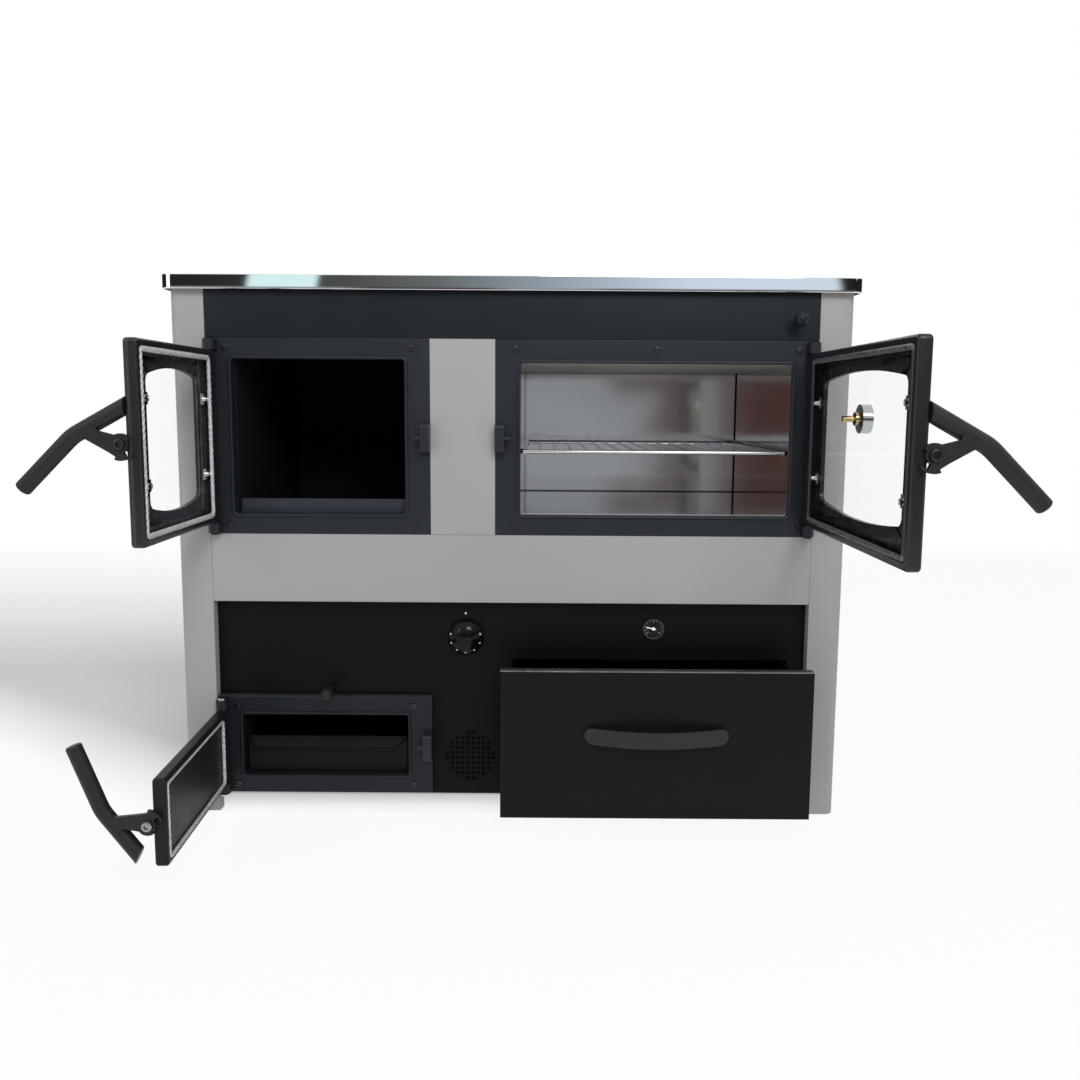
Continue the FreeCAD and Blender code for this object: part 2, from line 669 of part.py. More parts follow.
def latch_keepers():
    """Blocks on the frames, each with the pin that the latch finger hooks."""
    pieces = []
    for door in DOORS:
        name = door["name"] + "_keeper"
        side = door["side"]
        outer = "(%s)" % door["edge"]
        inner = "(%s - %d * keeper_width)" % (outer, side)
        ear = "(%s + %d * keeper_gauge)" % (inner, side)
        tip = "(%s - %d * (edge_gap - keeper_tip))" % (outer, side)

        def ordered(a, b):
            return (a, b) if side > 0 else (b, a)

        face = door["face"]
        middle = door["middle"]
        block_z = (middle + " - keeper_height / 2", middle + " + keeper_height / 2")
        block = box(name + "_block", ordered(inner, outer), (face + " - keeper_out", face), block_z)
        front = value(face + " - keeper_out")

        def nose(edge):
            return runs_along(EX)(edge) and abs(edge.BoundBox.YMax - front) < 0.02

        bracket = ease(name + "_bracket", block, "keeper_round", nose)
        pin_y = "(%s - pivot_out + latch_radius)" % door["axis_y"]
        low, high = ordered(tip, ear)
        length = "%s - (%s)" % (high, low)
        pin = rod(name + "_pin", "x", "keeper_pin", (low, pin_y, middle), length)
        hole = rod(name + "_hole", "x", "keeper_pin + pin_seat", (low, pin_y, middle), length)
        pieces.append(cut(name, bracket, [hole]))
        pieces.append(pin)
    return node("latch_keepers", group("keeper_group", pieces))


# Doors

def window_sketch(body, door, level):
    """Window outline with upright sides and shallow arches above and below."""
    left, right = span(door, "win_hinge", door["reach"] + " - win_free")
    low, high = door["bottom"] + " + win_low", door["top"] + " - win_high"
    sketch = sketch_on(body, door["name"] + "_window", "XZ_Plane", level)
    a, b, c, d = value(left), value(right), value(low), value(high)
    sag, middle = value("win_sag"), (a + b) / 2
    corner = [Vector(a, c, 0), Vector(a, d, 0), Vector(b, d, 0), Vector(b, c, 0)]
    crown, keel = Vector(middle, d + sag, 0), Vector(middle, c - sag, 0)
    sketch.addGeometry(Part.LineSegment(corner[0], corner[1]), False)
    sketch.addGeometry(Part.Arc(corner[2], crown, corner[1]), False)
    sketch.addGeometry(Part.LineSegment(corner[2], corner[3]), False)
    sketch.addGeometry(Part.Arc(corner[0], keel, corner[3]), False)
    for first, end, second, start in ((0, 2, 1, 2), (1, 1, 2, 1), (2, 2, 3, 2), (3, 1, 0, 1)):
        sketch.addConstraint(Sketcher.Constraint("Coincident", first, end, second, start))
    for geometry, end, point in ((0, 1, (left, low)), (0, 2, (left, high)),
                                 (2, 1, (right, high)), (2, 2, (right, low))):
        tie(sketch, geometry, end, point)
    radius = "(((%s) - (%s))^2 / 8 / win_sag + win_sag / 2)" % (right, left)
    for geometry in (1, 3):
        rule = Sketcher.Constraint("Radius", geometry, value(radius))
        drive(sketch, "Constraints[%d]" % sketch.addConstraint(rule), radius)
    return sketch


def clip_spots(door):
    """Screw places of the glass clips, as distance along the door and height."""
    ends = ("clip_inset", door["reach"] + " - clip_inset")
    rows = (door["bottom"] + " + clip_low", door["top"] + " - clip_high")
    return [(end, row) for end in ends for row in rows]


def door_casting(door):
    """Cast door: slab with a round hinge edge, deep recess, arched window and latch boss."""
    name = door["name"]
    side = door["side"]
    reach, low, high = door["reach"], door["bottom"], door["top"]
    half = "(door_gauge / 2)"
    skin = "ash_skin" if door is ASH else "door_skin"
    body = body_of(name + "_door_casting")
    tall = "%s - (%s)" % (high, low)
    plan = rectangle(body, name + "_slab", "XY_Plane", span(door, "0", reach),
                     ("-" + half, half), low)
    slab = pad(body, plan, tall)
    barrel = circles(body, name + "_barrel", "XY_Plane", [("0", "0")], half, low)
    slab = pad(body, barrel, tall)
    free = side * value(reach)
    front = value("-" + half)

    def free_corner(edge):
        return runs_along(EY)(edge) and abs(edge.BoundBox.XMax - free) < 0.02

    slab = soften(body, slab, "door_corner", free_corner)

    def outer_rim(edge):
        limits = edge.BoundBox
        if abs(limits.YMin - front) > 0.02 or abs(limits.YMax - front) > 0.02:
            return False
        flat = abs(limits.ZMax - limits.ZMin) < 0.02
        at_free = abs(limits.XMax - free) < 0.02 and abs(limits.XMin - free) < 0.02
        return at_free or (flat and abs(limits.XMax - limits.XMin) > value("door_gauge"))

    slab = soften(body, slab, "door_edge", outer_rim)
    rim = door["rim"]
    recess_x = span(door, "hinge_rim", "%s - %s" % (reach, rim))
    recess_z = ("%s + %s" % (low, rim), "%s - %s" % (high, rim))
    inside = rectangle(body, name + "_recess", "XZ_Plane", recess_x, recess_z, "-" + half)
    slab = pocket(body, inside, "door_gauge - " + skin, True)
    if door is not ASH:
        slab = pocket(body, window_sketch(body, door, half), "door_gauge")
        places = [value(text) for text in span(door, "win_hinge", reach + " - win_free")]
        rows = (value(low + " + win_low"), value(high + " - win_high"))

        def window_corner(edge):
            if not runs_along(EY)(edge):
                return False
            spot = edge.Vertexes[0].Point
            near_x = min(abs(spot.x - place) for place in places) < 0.02
            return near_x and min(abs(spot.z - row) for row in rows) < 0.02

        soften(body, slab, "win_corner", window_corner)
        spots = [("%d * (%s)" % (side, a), z) for a, z in clip_spots(door)]
        floor = "-(door_skin - %s)" % half
        bosses = circles(body, name + "_bosses", "XZ_Plane", spots, "clip_boss", floor)
        pad(body, bosses, "glass_gauge", True)
        top = "-(door_skin + glass_gauge - %s)" % half
        holes = circles(body, name + "_clip_holes", "XZ_Plane", spots,
                        "clip_screw + thread_fit", top)
        pocket(body, holes, "clip_depth", True)
    bore = "pin_radius + pin_fit"
    upper = circles(body, name + "_bore_top", "XY_Plane", [("0", "0")], bore, high)
    pocket(body, upper, "pin_depth + lug_gap")
    lower = circles(body, name + "_bore_low", "XY_Plane", [("0", "0")], bore, low)
    pocket(body, lower, "pin_depth + lug_gap", True)
    pivot = ("-pivot_out", door["middle"])
    edge_level = "%d * (%s)" % (side, reach)
    boss = circles(body, name + "_boss", "YZ_Plane", [pivot], "boss_radius", edge_level)
    pad(body, boss, "boss_length", side > 0)
    hole = circles(body, name + "_pivot_hole", "YZ_Plane", [pivot],
                   "pivot_radius + thread_fit", edge_level)
    pocket(body, hole, "pivot_depth + lug_gap", side < 0)
    swing(body, door)
    return node(name + "_door_casting", body)


def door_gasket(door):
    """Rope seal along the inner edge of the rim."""
    name = door["name"]
    reach, low, high = door["reach"], door["bottom"], door["top"]
    crest = "door_gauge / 2 + door_gap - lip_rise - gasket_slack"
    y = (crest + " - gasket_depth", crest)
    if door is ASH:
        y = ("ash_skin - door_gauge / 2", y[1])
    rim = door["rim"]
    x = span(door, "hinge_rim", "%s - %s" % (reach, rim))
    z = ("%s + %s" % (low, rim), "%s - %s" % (high, rim))
    outer = box(name + "_rope", x, y, z)
    inset = "(%s + gasket_width)" % rim
    x = span(door, "hinge_rim + gasket_width", "%s - %s" % (reach, inset))
    z = ("%s + %s" % (low, inset), "%s - %s" % (high, inset))
    inner = box(name + "_rope_inside", x, ("%s - 1" % y[0], "%s + 1" % y[1]), z)
    ring = cut(name + "_rope_ring", outer, [inner])
    return node(name + "_gasket", swing(ring, door))


def door_glass(door):
    name = door["name"]
    reach, low, high = door["reach"], door["bottom"], door["top"]
    x = span(door, "win_hinge - glass_lap", reach + " - win_free + glass_lap")
    back = "door_skin - door_gauge / 2"
    z = (low + " + win_low - win_sag - glass_lap", high + " - win_high + win_sag + glass_lap")
    pane = box(name + "_pane", x, (back, back + " + glass_gauge"), z)
    if door is OVEN:
        start = ("-dial_along", back + " - 1", door["middle"] + " + dial_rise")
        hole = rod("pane_hole", "y", "dial_stem + stem_fit", start, "glass_gauge + 2")
        pane = cut("pane_cut", pane, [hole])
    return node(name + "_glass", swing(group(name + "_glazing", [pane]), door))


def glass_clips(door):
    """Strips that hold the pane down, each on its screw."""
    name = door["name"]
    side, reach = door["side"], door["reach"]
    seat_y = "door_skin - door_gauge / 2 + glass_gauge"
    pane = ("win_hinge - glass_lap", reach + " - win_free + glass_lap")
    pieces = []
    for i, (along, row) in enumerate(clip_spots(door)):
        if i < 2:
            ends = (along + " - clip_tail", pane[0] + " + clip_over")
        else:
            ends = (pane[1] + " - clip_over", along + " + clip_tail")
        z = (row + " - clip_height / 2", row + " + clip_height / 2")
        strip = box("%s_strip_%d" % (name, i), span(door, *ends),
                    (seat_y, seat_y + " + clip_gauge"), z)
        x = "%d * (%s)" % (side, along)
        hole = rod("%s_strip_hole_%d" % (name, i), "y", "clip_screw + thread_fit",
                   (x, seat_y + " - 1", row), "clip_gauge + 2")
        pieces.append(cut("%s_clip_%d" % (name, i), strip, [hole]))
        head = rod("%s_clip_head_%d" % (name, i), "y", "clip_head",
                   (x, seat_y + " + clip_gauge", row), "clip_head_gauge")
        depth = "(clip_depth - 1)"
        shank = rod("%s_clip_shank_%d" % (name, i), "y", "clip_screw",
                    (x, "%s - %s" % (seat_y, depth), row), depth + " + clip_gauge")
        pieces.append(fuse("%s_clip_screw_%d" % (name, i), [head, shank]))
    return node(name + "_glass_clips", swing(group(name + "_clip_group", pieces), door))


def handle_screw(door):
    """Shoulder screw that the latch handle turns on."""
    name = door["name"]
    reach = door["reach"]
    near = reach + " - pivot_depth"
    shoulder = reach + " + 2 * lever_gap + lever_gauge"
    shank_x = span(door, near, shoulder)
    head_x = span(door, shoulder, shoulder + " + pivot_head_gauge")
    y, z = "-pivot_out", door["middle"]
    shank = rod(name + "_pivot_shank", "x", "pivot_radius", (shank_x[0], y, z),
                "pivot_depth + 2 * lever_gap + lever_gauge")
    head = rod(name + "_pivot_head", "x", "pivot_head", (head_x[0], y, z), "pivot_head_gauge")
    screw = fuse(name + "_pivot_screw", [shank, head])
    return node(name + "_handle_screw", swing(screw, door))


def sector(name, radius, start, sweep, x):
    """Part of a disc across X; angles run from +Y towards +Z."""
    item = doc.addObject("Part::Cylinder", name)
    turn = Rotation(EX, start).multiply(Rotation(Vector(1, 1, 1), 120))
    item.Placement = FreeCAD.Placement(Vector(), turn)
    drive(item, "Radius", radius)
    drive(item, "Height", "%s - (%s)" % (x[1], x[0]))
    item.Angle = sweep
    return seat(item, x[0], "0", "0")


def grip_bar(door, flip):
    """Round bar with a slow bend, cut flat where it stops against the door."""
    name = door["name"] + "_grip"
    body = body_of(name)
    run = "grip_bend_radius * tan(grip_bend / 2)"
    path = sketch_on(body, name + "_path", "XZ_Plane", "0")
    short, long_leg = value("grip_short"), value("grip_long")
    bend, radius = value("grip_bend"), value("grip_bend_radius")
    step = value(run)
    turn = Rotation(EZ, bend)
    corner = Vector(short, 0, 0)
    begin = corner - Vector(step, 0, 0)
    end = corner + turn.multVec(Vector(step, 0, 0))
    far = corner + turn.multVec(Vector(long_leg, 0, 0))
    middle = Vector(begin.x, radius, 0) + Rotation(EZ, bend / 2).multVec(Vector(0, -radius, 0))
    path.addGeometry(Part.LineSegment(Vector(), begin), False)
    path.addGeometry(Part.Arc(begin, middle, end), False)
    path.addGeometry(Part.LineSegment(end, far), False)
    path.addConstraint(Sketcher.Constraint("Tangent", 0, 2, 1, 1))
    path.addConstraint(Sketcher.Constraint("Tangent", 1, 2, 2, 1))
    tie(path, 0, 1, ("0", "0"))
    tie(path, 0, 2, ("grip_short - " + run, "0"))
    rule = Sketcher.Constraint("Radius", 1, radius)
    drive(path, "Constraints[%d]" % path.addConstraint(rule), "grip_bend_radius")
    tie(path, 2, 2, ("grip_short + grip_long * cos(grip_bend)", "grip_long * sin(grip_bend)"))
    ring = circles(body, name + "_ring", "YZ_Plane", [("0", "0")], "grip_radius")
    pipe = body.newObject("PartDesign::AdditivePipe", name + "_pipe")
    pipe.Profile = ring
    pipe.Spine = path
    doc.recompute()
    round_ends = [edge for edge in pipe.Shape.Edges if isinstance(edge.Curve, Part.Circle)]
    last = max(round_ends, key=lambda edge: edge.BoundBox.Center.x)
    soften(body, pipe, "grip_edge", lambda edge: edge.isSame(last))
    # The path is drawn in XZ from the stop end; it is turned to fall away from the door.
    slope = Rotation(EX, flip * (180 + value("grip_slope")))
    upright = Rotation(EZ, 90)
    mirror = Rotation(EY, 0) if flip > 0 else Rotation(EX, 180)
    body.Placement = FreeCAD.Placement(Vector(), slope.multiply(upright.multiply(mirror)))
    x = "%d * -grip_inset" % door["side"]
    return seat(body, x, "grip_start_y", "%d * grip_start_z" % flip)


def latch_handle(door, flip, turn):
    """Hooked lever on the door's free edge, in one piece with its bent grip bar."""
    name = door["name"]
    x = span(door, "0", "lever_gauge")
    tip, root, tail = value("finger_tip"), value("finger_root"), value("finger_tail")

    def swept(part, radius, first, last):
        start = -last if flip > 0 else first
        return sector("%s_%s" % (name, part), radius, start, last - first, x)

    claw = swept("claw", "finger_out", tip, tail)
    throat = swept("throat", "finger_in", tip - 2, root)
    claw = cut(name + "_claw_cut", claw, [throat])
    shoulder = swept("shoulder", "shoulder_radius", tail, value("shoulder_end"))
    lobe = rod(name + "_lobe", "x", "lobe_radius", (x[0], "0", "0"), "lever_gauge")
    arm_body = body_of(name + "_arm")

    def z(text):
        return "%d * (%s)" % (flip, text)

    points = [
        ("-46", z("8")), ("-52", z("14")), ("-30", z("24")), ("-27", z("16.5")),
        ("-13", z("13")), ("0", z("lobe_radius")), ("0", z("-finger_out * 0.75")),
        ("-6", z("-finger_out * 0.75")), ("-15", z("-9.5")),
    ]
    level = x[0]
    sketch = outline(arm_body, name + "_arm_plan", "YZ_Plane", points, level)
    pad(arm_body, sketch, "lever_gauge")
    bar = grip_bar(door, flip)
    stop = box(name + "_stop", ("-60", "60"), ("pivot_out - door_gauge / 2 - 0.6", "80"),
               ("-90", "90"))
    bar = cut(name + "_bar_cut", bar, [stop])
    solid = fuse(name + "_handle_fuse", [claw, lobe, shoulder, arm_body, bar])
    hole_start = ("%s - 1" % x[0], "0", "0")
    hole = rod(name + "_lever_hole", "x", "pivot_radius + pivot_fit", hole_start,
               "lever_gauge + 2")
    handle = cut(name + "_handle_cut", solid, [hole])
    along = door["side"] * value(door["reach"] + " + lever_gap")
    pivot = Vector(along, -value("pivot_out"), value(door["middle"]))
    hinge = Vector(value(door["axis"]), value(door["axis_y"]), 0)
    open_turn = Rotation(EZ, -door["side"] * value(door["open"]))
    on_door = FreeCAD.Placement(hinge, open_turn)
    handle.Placement = on_door.multiply(FreeCAD.Placement(pivot, Rotation(EX, turn)))
    return node(name + "_handle", handle)


# Oven

def oven_box():
    """Oven liner open at the front, with a fixing flange and a pair of rack channels."""
    x, z = lip_box(OVEN, "lip_wall")
    y = ("frame_gauge", "frame_gauge + oven_depth")

    def grown(pair, by):
        return ("%s - %s" % (pair[0], by), "%s + %s" % (pair[1], by))

    shell = box("oven_shell", grown(x, "oven_wall"), (y[0], y[1] + " + oven_wall"),
                grown(z, "oven_wall"))
    flange = box("oven_flange_plate", grown(x, "oven_flange"), (y[0], y[0] + " + oven_wall"),
                 grown(z, "oven_flange"))
    shell = fuse("oven_shell_fuse", [shell, flange])
    hollow = box("oven_hollow", x, (y[0] + " - 1", y[1]), z)
    liner = cut("oven_liner", shell, [hollow])
    run = (y[0] + " + rack_start", y[1] + " - rack_start")
    pieces = [liner]
    for i in range(2):
        wall = (x[0], x[0] + " + runner_width") if i == 0 else (x[1] + " - runner_width", x[1])
        levels = ("rack_level - rack_wire - runner_gauge", "rack_level + rack_wire + runner_play")
        for j, level in enumerate(levels):
            strip_z = (level, level + " + runner_gauge")
            pieces.append(box("runner_%d%d" % (i, j), wall, run, strip_z))
    return node("oven_box", fuse("oven_fuse", pieces))


def oven_rack():
    """Wire shelf: a rim of stout wire with cross wires over it."""
    x, z = lip_box(OVEN, "lip_wall")
    left, right = x[0] + " + rack_gap + rack_wire", x[1] + " - rack_gap - rack_wire"
    near, far = "frame_gauge + rack_start", "frame_gauge + rack_start + rack_depth"
    wires = []
    for i, at in enumerate((left, right)):
        wires.append(rod("rack_side_%d" % i, "y", "rack_wire", (at, near, "rack_level"),
                         "%s - (%s)" % (far, near)))
    for i, at in enumerate((near, far)):
        wires.append(rod("rack_end_%d" % i, "x", "rack_wire", (left, at, "rack_level"),
                         "%s - (%s)" % (right, left)))
        for j, corner in enumerate((left, right)):
            ball = doc.addObject("Part::Sphere", "rack_corner_%d%d" % (i, j))
            drive(ball, "Radius", "rack_wire")
            wires.append(seat(ball, corner, at, "rack_level"))
    count = int(value("rack_count"))
    for i in range(1, count + 1):
        at = "(%s) + ((%s) - (%s)) * %d / (rack_count + 1)" % (left, right, left, i)
        start = (at, near, "rack_level + 0.6")
        wires.append(rod("rack_cross_%d" % i, "y", "rack_cross", start, "rack_depth"))
    return node("oven_rack", fuse("rack_fuse", wires))


def dial_profile(rim):
    """Case of a round dial: cup with a raised rim, drawn from its back."""
    return [
        ("0", "0"), (rim, "0"), (rim, "dial_depth"), (rim + " - 1.5", "dial_depth"),
        (rim + " - 1.5", "dial_depth - 4"), ("0", "dial_depth - 4"),
    ]


def thermometer_case():
    """Door thermometer: cup outside the pane, stem through it, nut behind."""
    cup = body_of("thermometer_cup")
    points = dial_profile("dial_radius")
    points[0] = ("0", "-dial_stem_length")
    points.insert(1, ("dial_stem", "-dial_stem_length"))
    points.insert(2, ("dial_stem", "0"))
    revolve(cup, "thermometer_profile", points)
    nut = body_of("thermometer_nut")
    bore, rim = "dial_stem + thread_fit", "dial_stem + 5"
    points = [(bore, "-glass_gauge - 6"), (rim, "-glass_gauge - 4"), (rim, "-glass_gauge"),
              (bore, "-glass_gauge")]
    revolve(nut, "nut_profile", points)
    return node("thermometer_case", place_dial(group("thermometer_group", [cup, nut])))


def place_dial(item, rise="0"):
    """Set a piece drawn along Z on the oven door, facing out of its pane."""
    side = OVEN["side"]
    outside = "-(door_gauge / 2 - door_skin) - %s" % rise
    spot = Vector(side * value("dial_along"), value(outside), value(OVEN["middle"] + " + dial_rise"))
    hinge = Vector(value(OVEN["axis"]), value(OVEN["axis_y"]), 0)
    on_door = FreeCAD.Placement(hinge, Rotation(EZ, -side * value(OVEN["open"])))
    item.Placement = on_door.multiply(FreeCAD.Placement(spot, Rotation(EX, 90)))
    return item


def pointer(name, hub, tip, tail):
    """Flat pointer with a round hub, drawn along X from its spindle."""
    disc = rod(name + "_hub", "z", hub, ("0", "0", "0"), "needle_gauge")
    half = "needle_width / 2"
    blade = box(name + "_blade", ("-(%s)" % tail, tip), ("-" + half, half), ("0", "needle_gauge"))
    return fuse(name + "_pointer", [disc, blade])


def thermometer_needle():
    needle = pointer("thermometer", "3", "dial_radius - 5", "5")
    return node("thermometer_needle", place_dial(needle, "(dial_depth - 4 + needle_gap)"))


# Firebox, boiler and ash

def jacket_loop(inset, z, name):
    """U of the water jacket in plan, drawn inset by a wall."""
    x0, x1 = "jacket_left + " + inset, "jacket_right - " + inset
    y0, y1 = "jacket_front + " + inset, "jacket_front + jacket_depth - " + inset
    body = body_of(name)
    inner_x0 = "jacket_left + jacket_width - " + inset
    inner_x1 = "jacket_right - jacket_width + " + inset
    inner_y = "jacket_front + jacket_depth - jacket_width + " + inset
    points = [(x0, y0), (inner_x0, y0), (inner_x0, inner_y), (inner_x1, inner_y),
              (inner_x1, y0), (x1, y0), (x1, y1), (x0, y1)]
    sketch = outline(body, name + "_plan", "XY_Plane", points, z[0])
    pad(body, sketch, "%s - (%s)" % (z[1], z[0]))
    return body


def boiler_jacket():
    """Hollow U of plate round the fire, with ledges for the grate and two pipe holes."""
    shell = jacket_loop("0", ("jacket_low", "jacket_high"), "jacket_shell")
    water_z = ("jacket_low + jacket_wall", "jacket_high - jacket_wall")
    water = jacket_loop("jacket_wall", water_z, "jacket_water")
    ledges = [shell]
    run = ("jacket_front", "jacket_front + jacket_depth - jacket_width")
    z = ("jacket_low", "jacket_low + ledge_gauge")
    inside = ("jacket_left + jacket_width", "jacket_right - jacket_width")
    ledges.append(box("ledge_left", (inside[0], inside[0] + " + ledge_width"), run, z))
    ledges.append(box("ledge_right", (inside[1] + " - ledge_width", inside[1]), run, z))
    solid = fuse("jacket_fuse", ledges)
    back = "jacket_front + jacket_depth"
    holes = [water]
    for i, level in enumerate(("flow_level", "return_level")):
        start = ("pipe_x", back + " - 1.5 * jacket_wall", level)
        holes.append(rod("jacket_hole_%d" % i, "y", "pipe_radius - pipe_wall", start,
                         "2 * jacket_wall"))
    solid = cut("jacket_hollow", solid, [holes[0]])
    return node("boiler_jacket", cut("jacket_cut", solid, holes[1:]))


def boiler_pipes():
    pipes = []
    back = "jacket_front + jacket_depth"
    length = "body_depth + pipe_out - (%s)" % back
    for i, level in enumerate(("flow_level", "return_level")):
        start = ("pipe_x", back, level)
        tube = rod("pipe_tube_%d" % i, "y", "pipe_radius", start, length)
        end = rod("pipe_end_%d" % i, "y", "pipe_thread", ("pipe_x", "body_depth", level), "pipe_out")
        tube = fuse("pipe_stub_%d" % i, [tube, end])
        bore_start = ("pipe_x", back + " - 1", level)
        bore = rod("pipe_bore_%d" % i, "y", "pipe_radius - pipe_wall", bore_start, length + " + 2")
        pipes.append(cut("pipe_%d" % i, tube, [bore]))
    return node("boiler_pipes", group("pipe_group", pipes))


def log_guard():
    """Plate behind the firebox sill that keeps logs in."""
    x = ("jacket_left + jacket_width + 2", "jacket_right - jacket_width - 2")
    lip_x, lip_z = lip_box(FIRE, "lip_wall")
    y = ("jacket_front", "jacket_front + guard_gauge")
    plate = soft_box("guard_plate", x, y, ("frame_base", lip_z[0] + " + guard_rise"), "4", EY)
    return node("log_guard", plate)


GRATE_LOW = "(jacket_low + ledge_gauge)"


def grate():
    """Cast grate with long slots between its bars."""
    x = ("jacket_left + jacket_width + grate_gap", "jacket_right - jacket_width - grate_gap")
    y = ("grate_front", "grate_front + grate_length")
    z = (GRATE_LOW, GRATE_LOW + " + grate_gauge")
    plate = box("grate_block", x, y, z)
    count = int(value("grate_bars"))
    slots = []
    for i in range(count):
        middle = "(%s) + ((%s) - (%s)) * (%d + 0.5) / grate_bars" % (x[0], x[1], x[0], i)
        slot_x = (middle + " - grate_slot / 2", middle + " + grate_slot / 2")
        slot_y = (y[0] + " + 22", y[1] + " - 16")
        slots.append(box("grate_slot_%d" % i, slot_x, slot_y, (z[0] + " - 1", z[1] + " + 1")))
    start = ("shaker_x", y[0] + " - 1", GRATE_LOW + " + grate_gauge / 2")
    slots.append(rod("grate_socket", "y", "shaker_rod + thread_fit", start, "15"))
    return node("grate", cut("grate_cut", plate, slots))


def shaker_handle():
    """Pull rod of the grate with its tapered knob."""
    body = body_of("shaker_handle")
    back = "grate_front + 12"
    neck = "recess - shaker_rod_out"
    tip = neck + " - shaker_length"
    points = [
        ("0", "-(%s)" % back), ("shaker_rod", "-(%s)" % back), ("shaker_rod", "-(%s)" % neck),
        ("shaker_slim", "-(%s)" % neck), ("shaker_fat", "-(%s) - 6" % tip),
        ("shaker_fat - 2.5", "-(%s) - 1.2" % tip), ("shaker_fat - 7", "-(%s)" % tip),
        ("0", "-(%s)" % tip),
    ]
    revolve(body, "shaker_profile", points)
    body.Placement = FreeCAD.Placement(Vector(), Rotation(EX, 90))
    seat(body, "shaker_x", "0", GRATE_LOW + " + grate_gauge / 2")
    return node("shaker_handle", body)


def ash_chamber():
    """Open channel under the grate that the ash pan slides in."""
    x, z = lip_box(ASH, "lip_wall")
    x = (x[0] + " - chamber_gap", x[1] + " + chamber_gap")
    y = (PANEL_BACK, PANEL_BACK + " + chamber_depth")
    low = z[0] + " - chamber_gauge"
    block = box("chamber_block", x, y, ("base_level", "jacket_low"))
    hollow_x = (x[0] + " + chamber_gauge", x[1] + " - chamber_gauge")
    hollow_y = (y[0] + " - 1", y[1] + " - chamber_gauge")
    hollow = box("chamber_hollow", hollow_x, hollow_y, (z[0], "jacket_low + 1"))
    under = box("chamber_under", hollow_x, hollow_y, ("base_level - 1", low))
    return node("ash_chamber", cut("chamber_cut", block, [hollow, under]))


def ash_pan():
    """Folded tray with a sloping pull lip whose ends are mitred."""
    x, z = lip_box(ASH, "lip_wall")
    x = (x[0] + " + pan_gap", x[1] + " - pan_gap")
    y = ("pan_set_back", "pan_set_back + pan_depth")
    low = z[0]
    tray = box("pan_block", x, y, (low, low + " + pan_height"))
    hollow = box("pan_hollow", (x[0] + " + pan_gauge", x[1] + " - pan_gauge"),
                 (y[0] + " + pan_gauge", y[1] + " - pan_gauge"),
                 (low + " + pan_gauge", low + " + pan_height + 1"))
    tray = cut("pan_tray", tray, [hollow])
    body = body_of("pan_lip_sheet")
    top = low + " + pan_height"
    points = [
        (y[0] + " + pan_gauge", top), (y[0], top + " - pan_lip_gauge"),
        (y[0] + " - pan_lip", top + " - pan_lip - pan_lip_gauge"),
        (y[0] + " - pan_lip - pan_gauge", top + " - pan_lip"), (y[0] + " - pan_gauge", top),
    ]
    sketch = outline(body, "pan_lip_plan", "YZ_Plane", points, x[0])
    pad(body, sketch, "%s - (%s)" % (x[1], x[0]))
    lip = body
    for i, (at, sign) in enumerate(((x[0], -1), (x[1], 1))):
        wedge_body = body_of("pan_wedge_%d" % i)
        corner = [(at, y[0]), (at, y[0] + " - 40"), ("%s - %d * 40" % (at, sign), y[0] + " - 40")]
        wedge = outline(wedge_body, "pan_wedge_plan_%d" % i, "XY_Plane", corner, "0")
        pad(wedge_body, wedge, "300")
        lip = cut("pan_lip_cut_%d" % i, lip, [wedge_body])
    return node("ash_pan", fuse("pan_fuse", [tray, lip]))


# Lower front

def drawer_way():
    """The opening behind the drawer front."""
    x = ("drawer_box_left - drawer_play", "drawer_box_right + drawer_play")
    z = ("base_level", "drawer_box_top + drawer_play")
    return x, z


def lower_panel():
    """Set-back front sheet with openings for the ash pan, drawer, air and controls."""
    y = ("recess", PANEL_BACK)
    plate = box("lower_sheet", ("-" + INNER, INNER), y, ("base_level", "mid_base + recess"))
    through = ("recess - 2", PANEL_BACK + " + 2")
    ash_x, ash_z = lip_box(ASH, "lip_wall")
    way_x, way_z = drawer_way()
    tools = [
        box("ash_way", ash_x, through, ash_z),
        box("drawer_way", way_x, through, (way_z[0] + " - 1", way_z[1])),
    ]
    rounds = (
        ("stat_way", "stat_x", "stat_z", "stat_hole"),
        ("gauge_way", "gauge_x", "gauge_z", "gauge_body + fit_play"),
        ("vent_way", "vent_x", "vent_z", "vent_radius"),
        ("shaker_way", "shaker_x", GRATE_LOW + " + grate_gauge / 2", "shaker_rod + shaker_fit"),
    )
    for name, x, z, radius in rounds:
        tools.append(rod(name, "y", radius, (x, through[0], z), "sheet_gauge + 4"))
    for i, (x, z) in enumerate(screw_spots(ASH)):
        tools.append(rod("ash_way_%d" % i, "y", "screw_shank + screw_fit", (x, through[0], z),
                         "sheet_gauge + 4"))
    sheet_cut = cut("lower_cut", plate, tools)
    return node("lower_panel", fuse("lower_fuse", [sheet_cut] + flap_ears()))


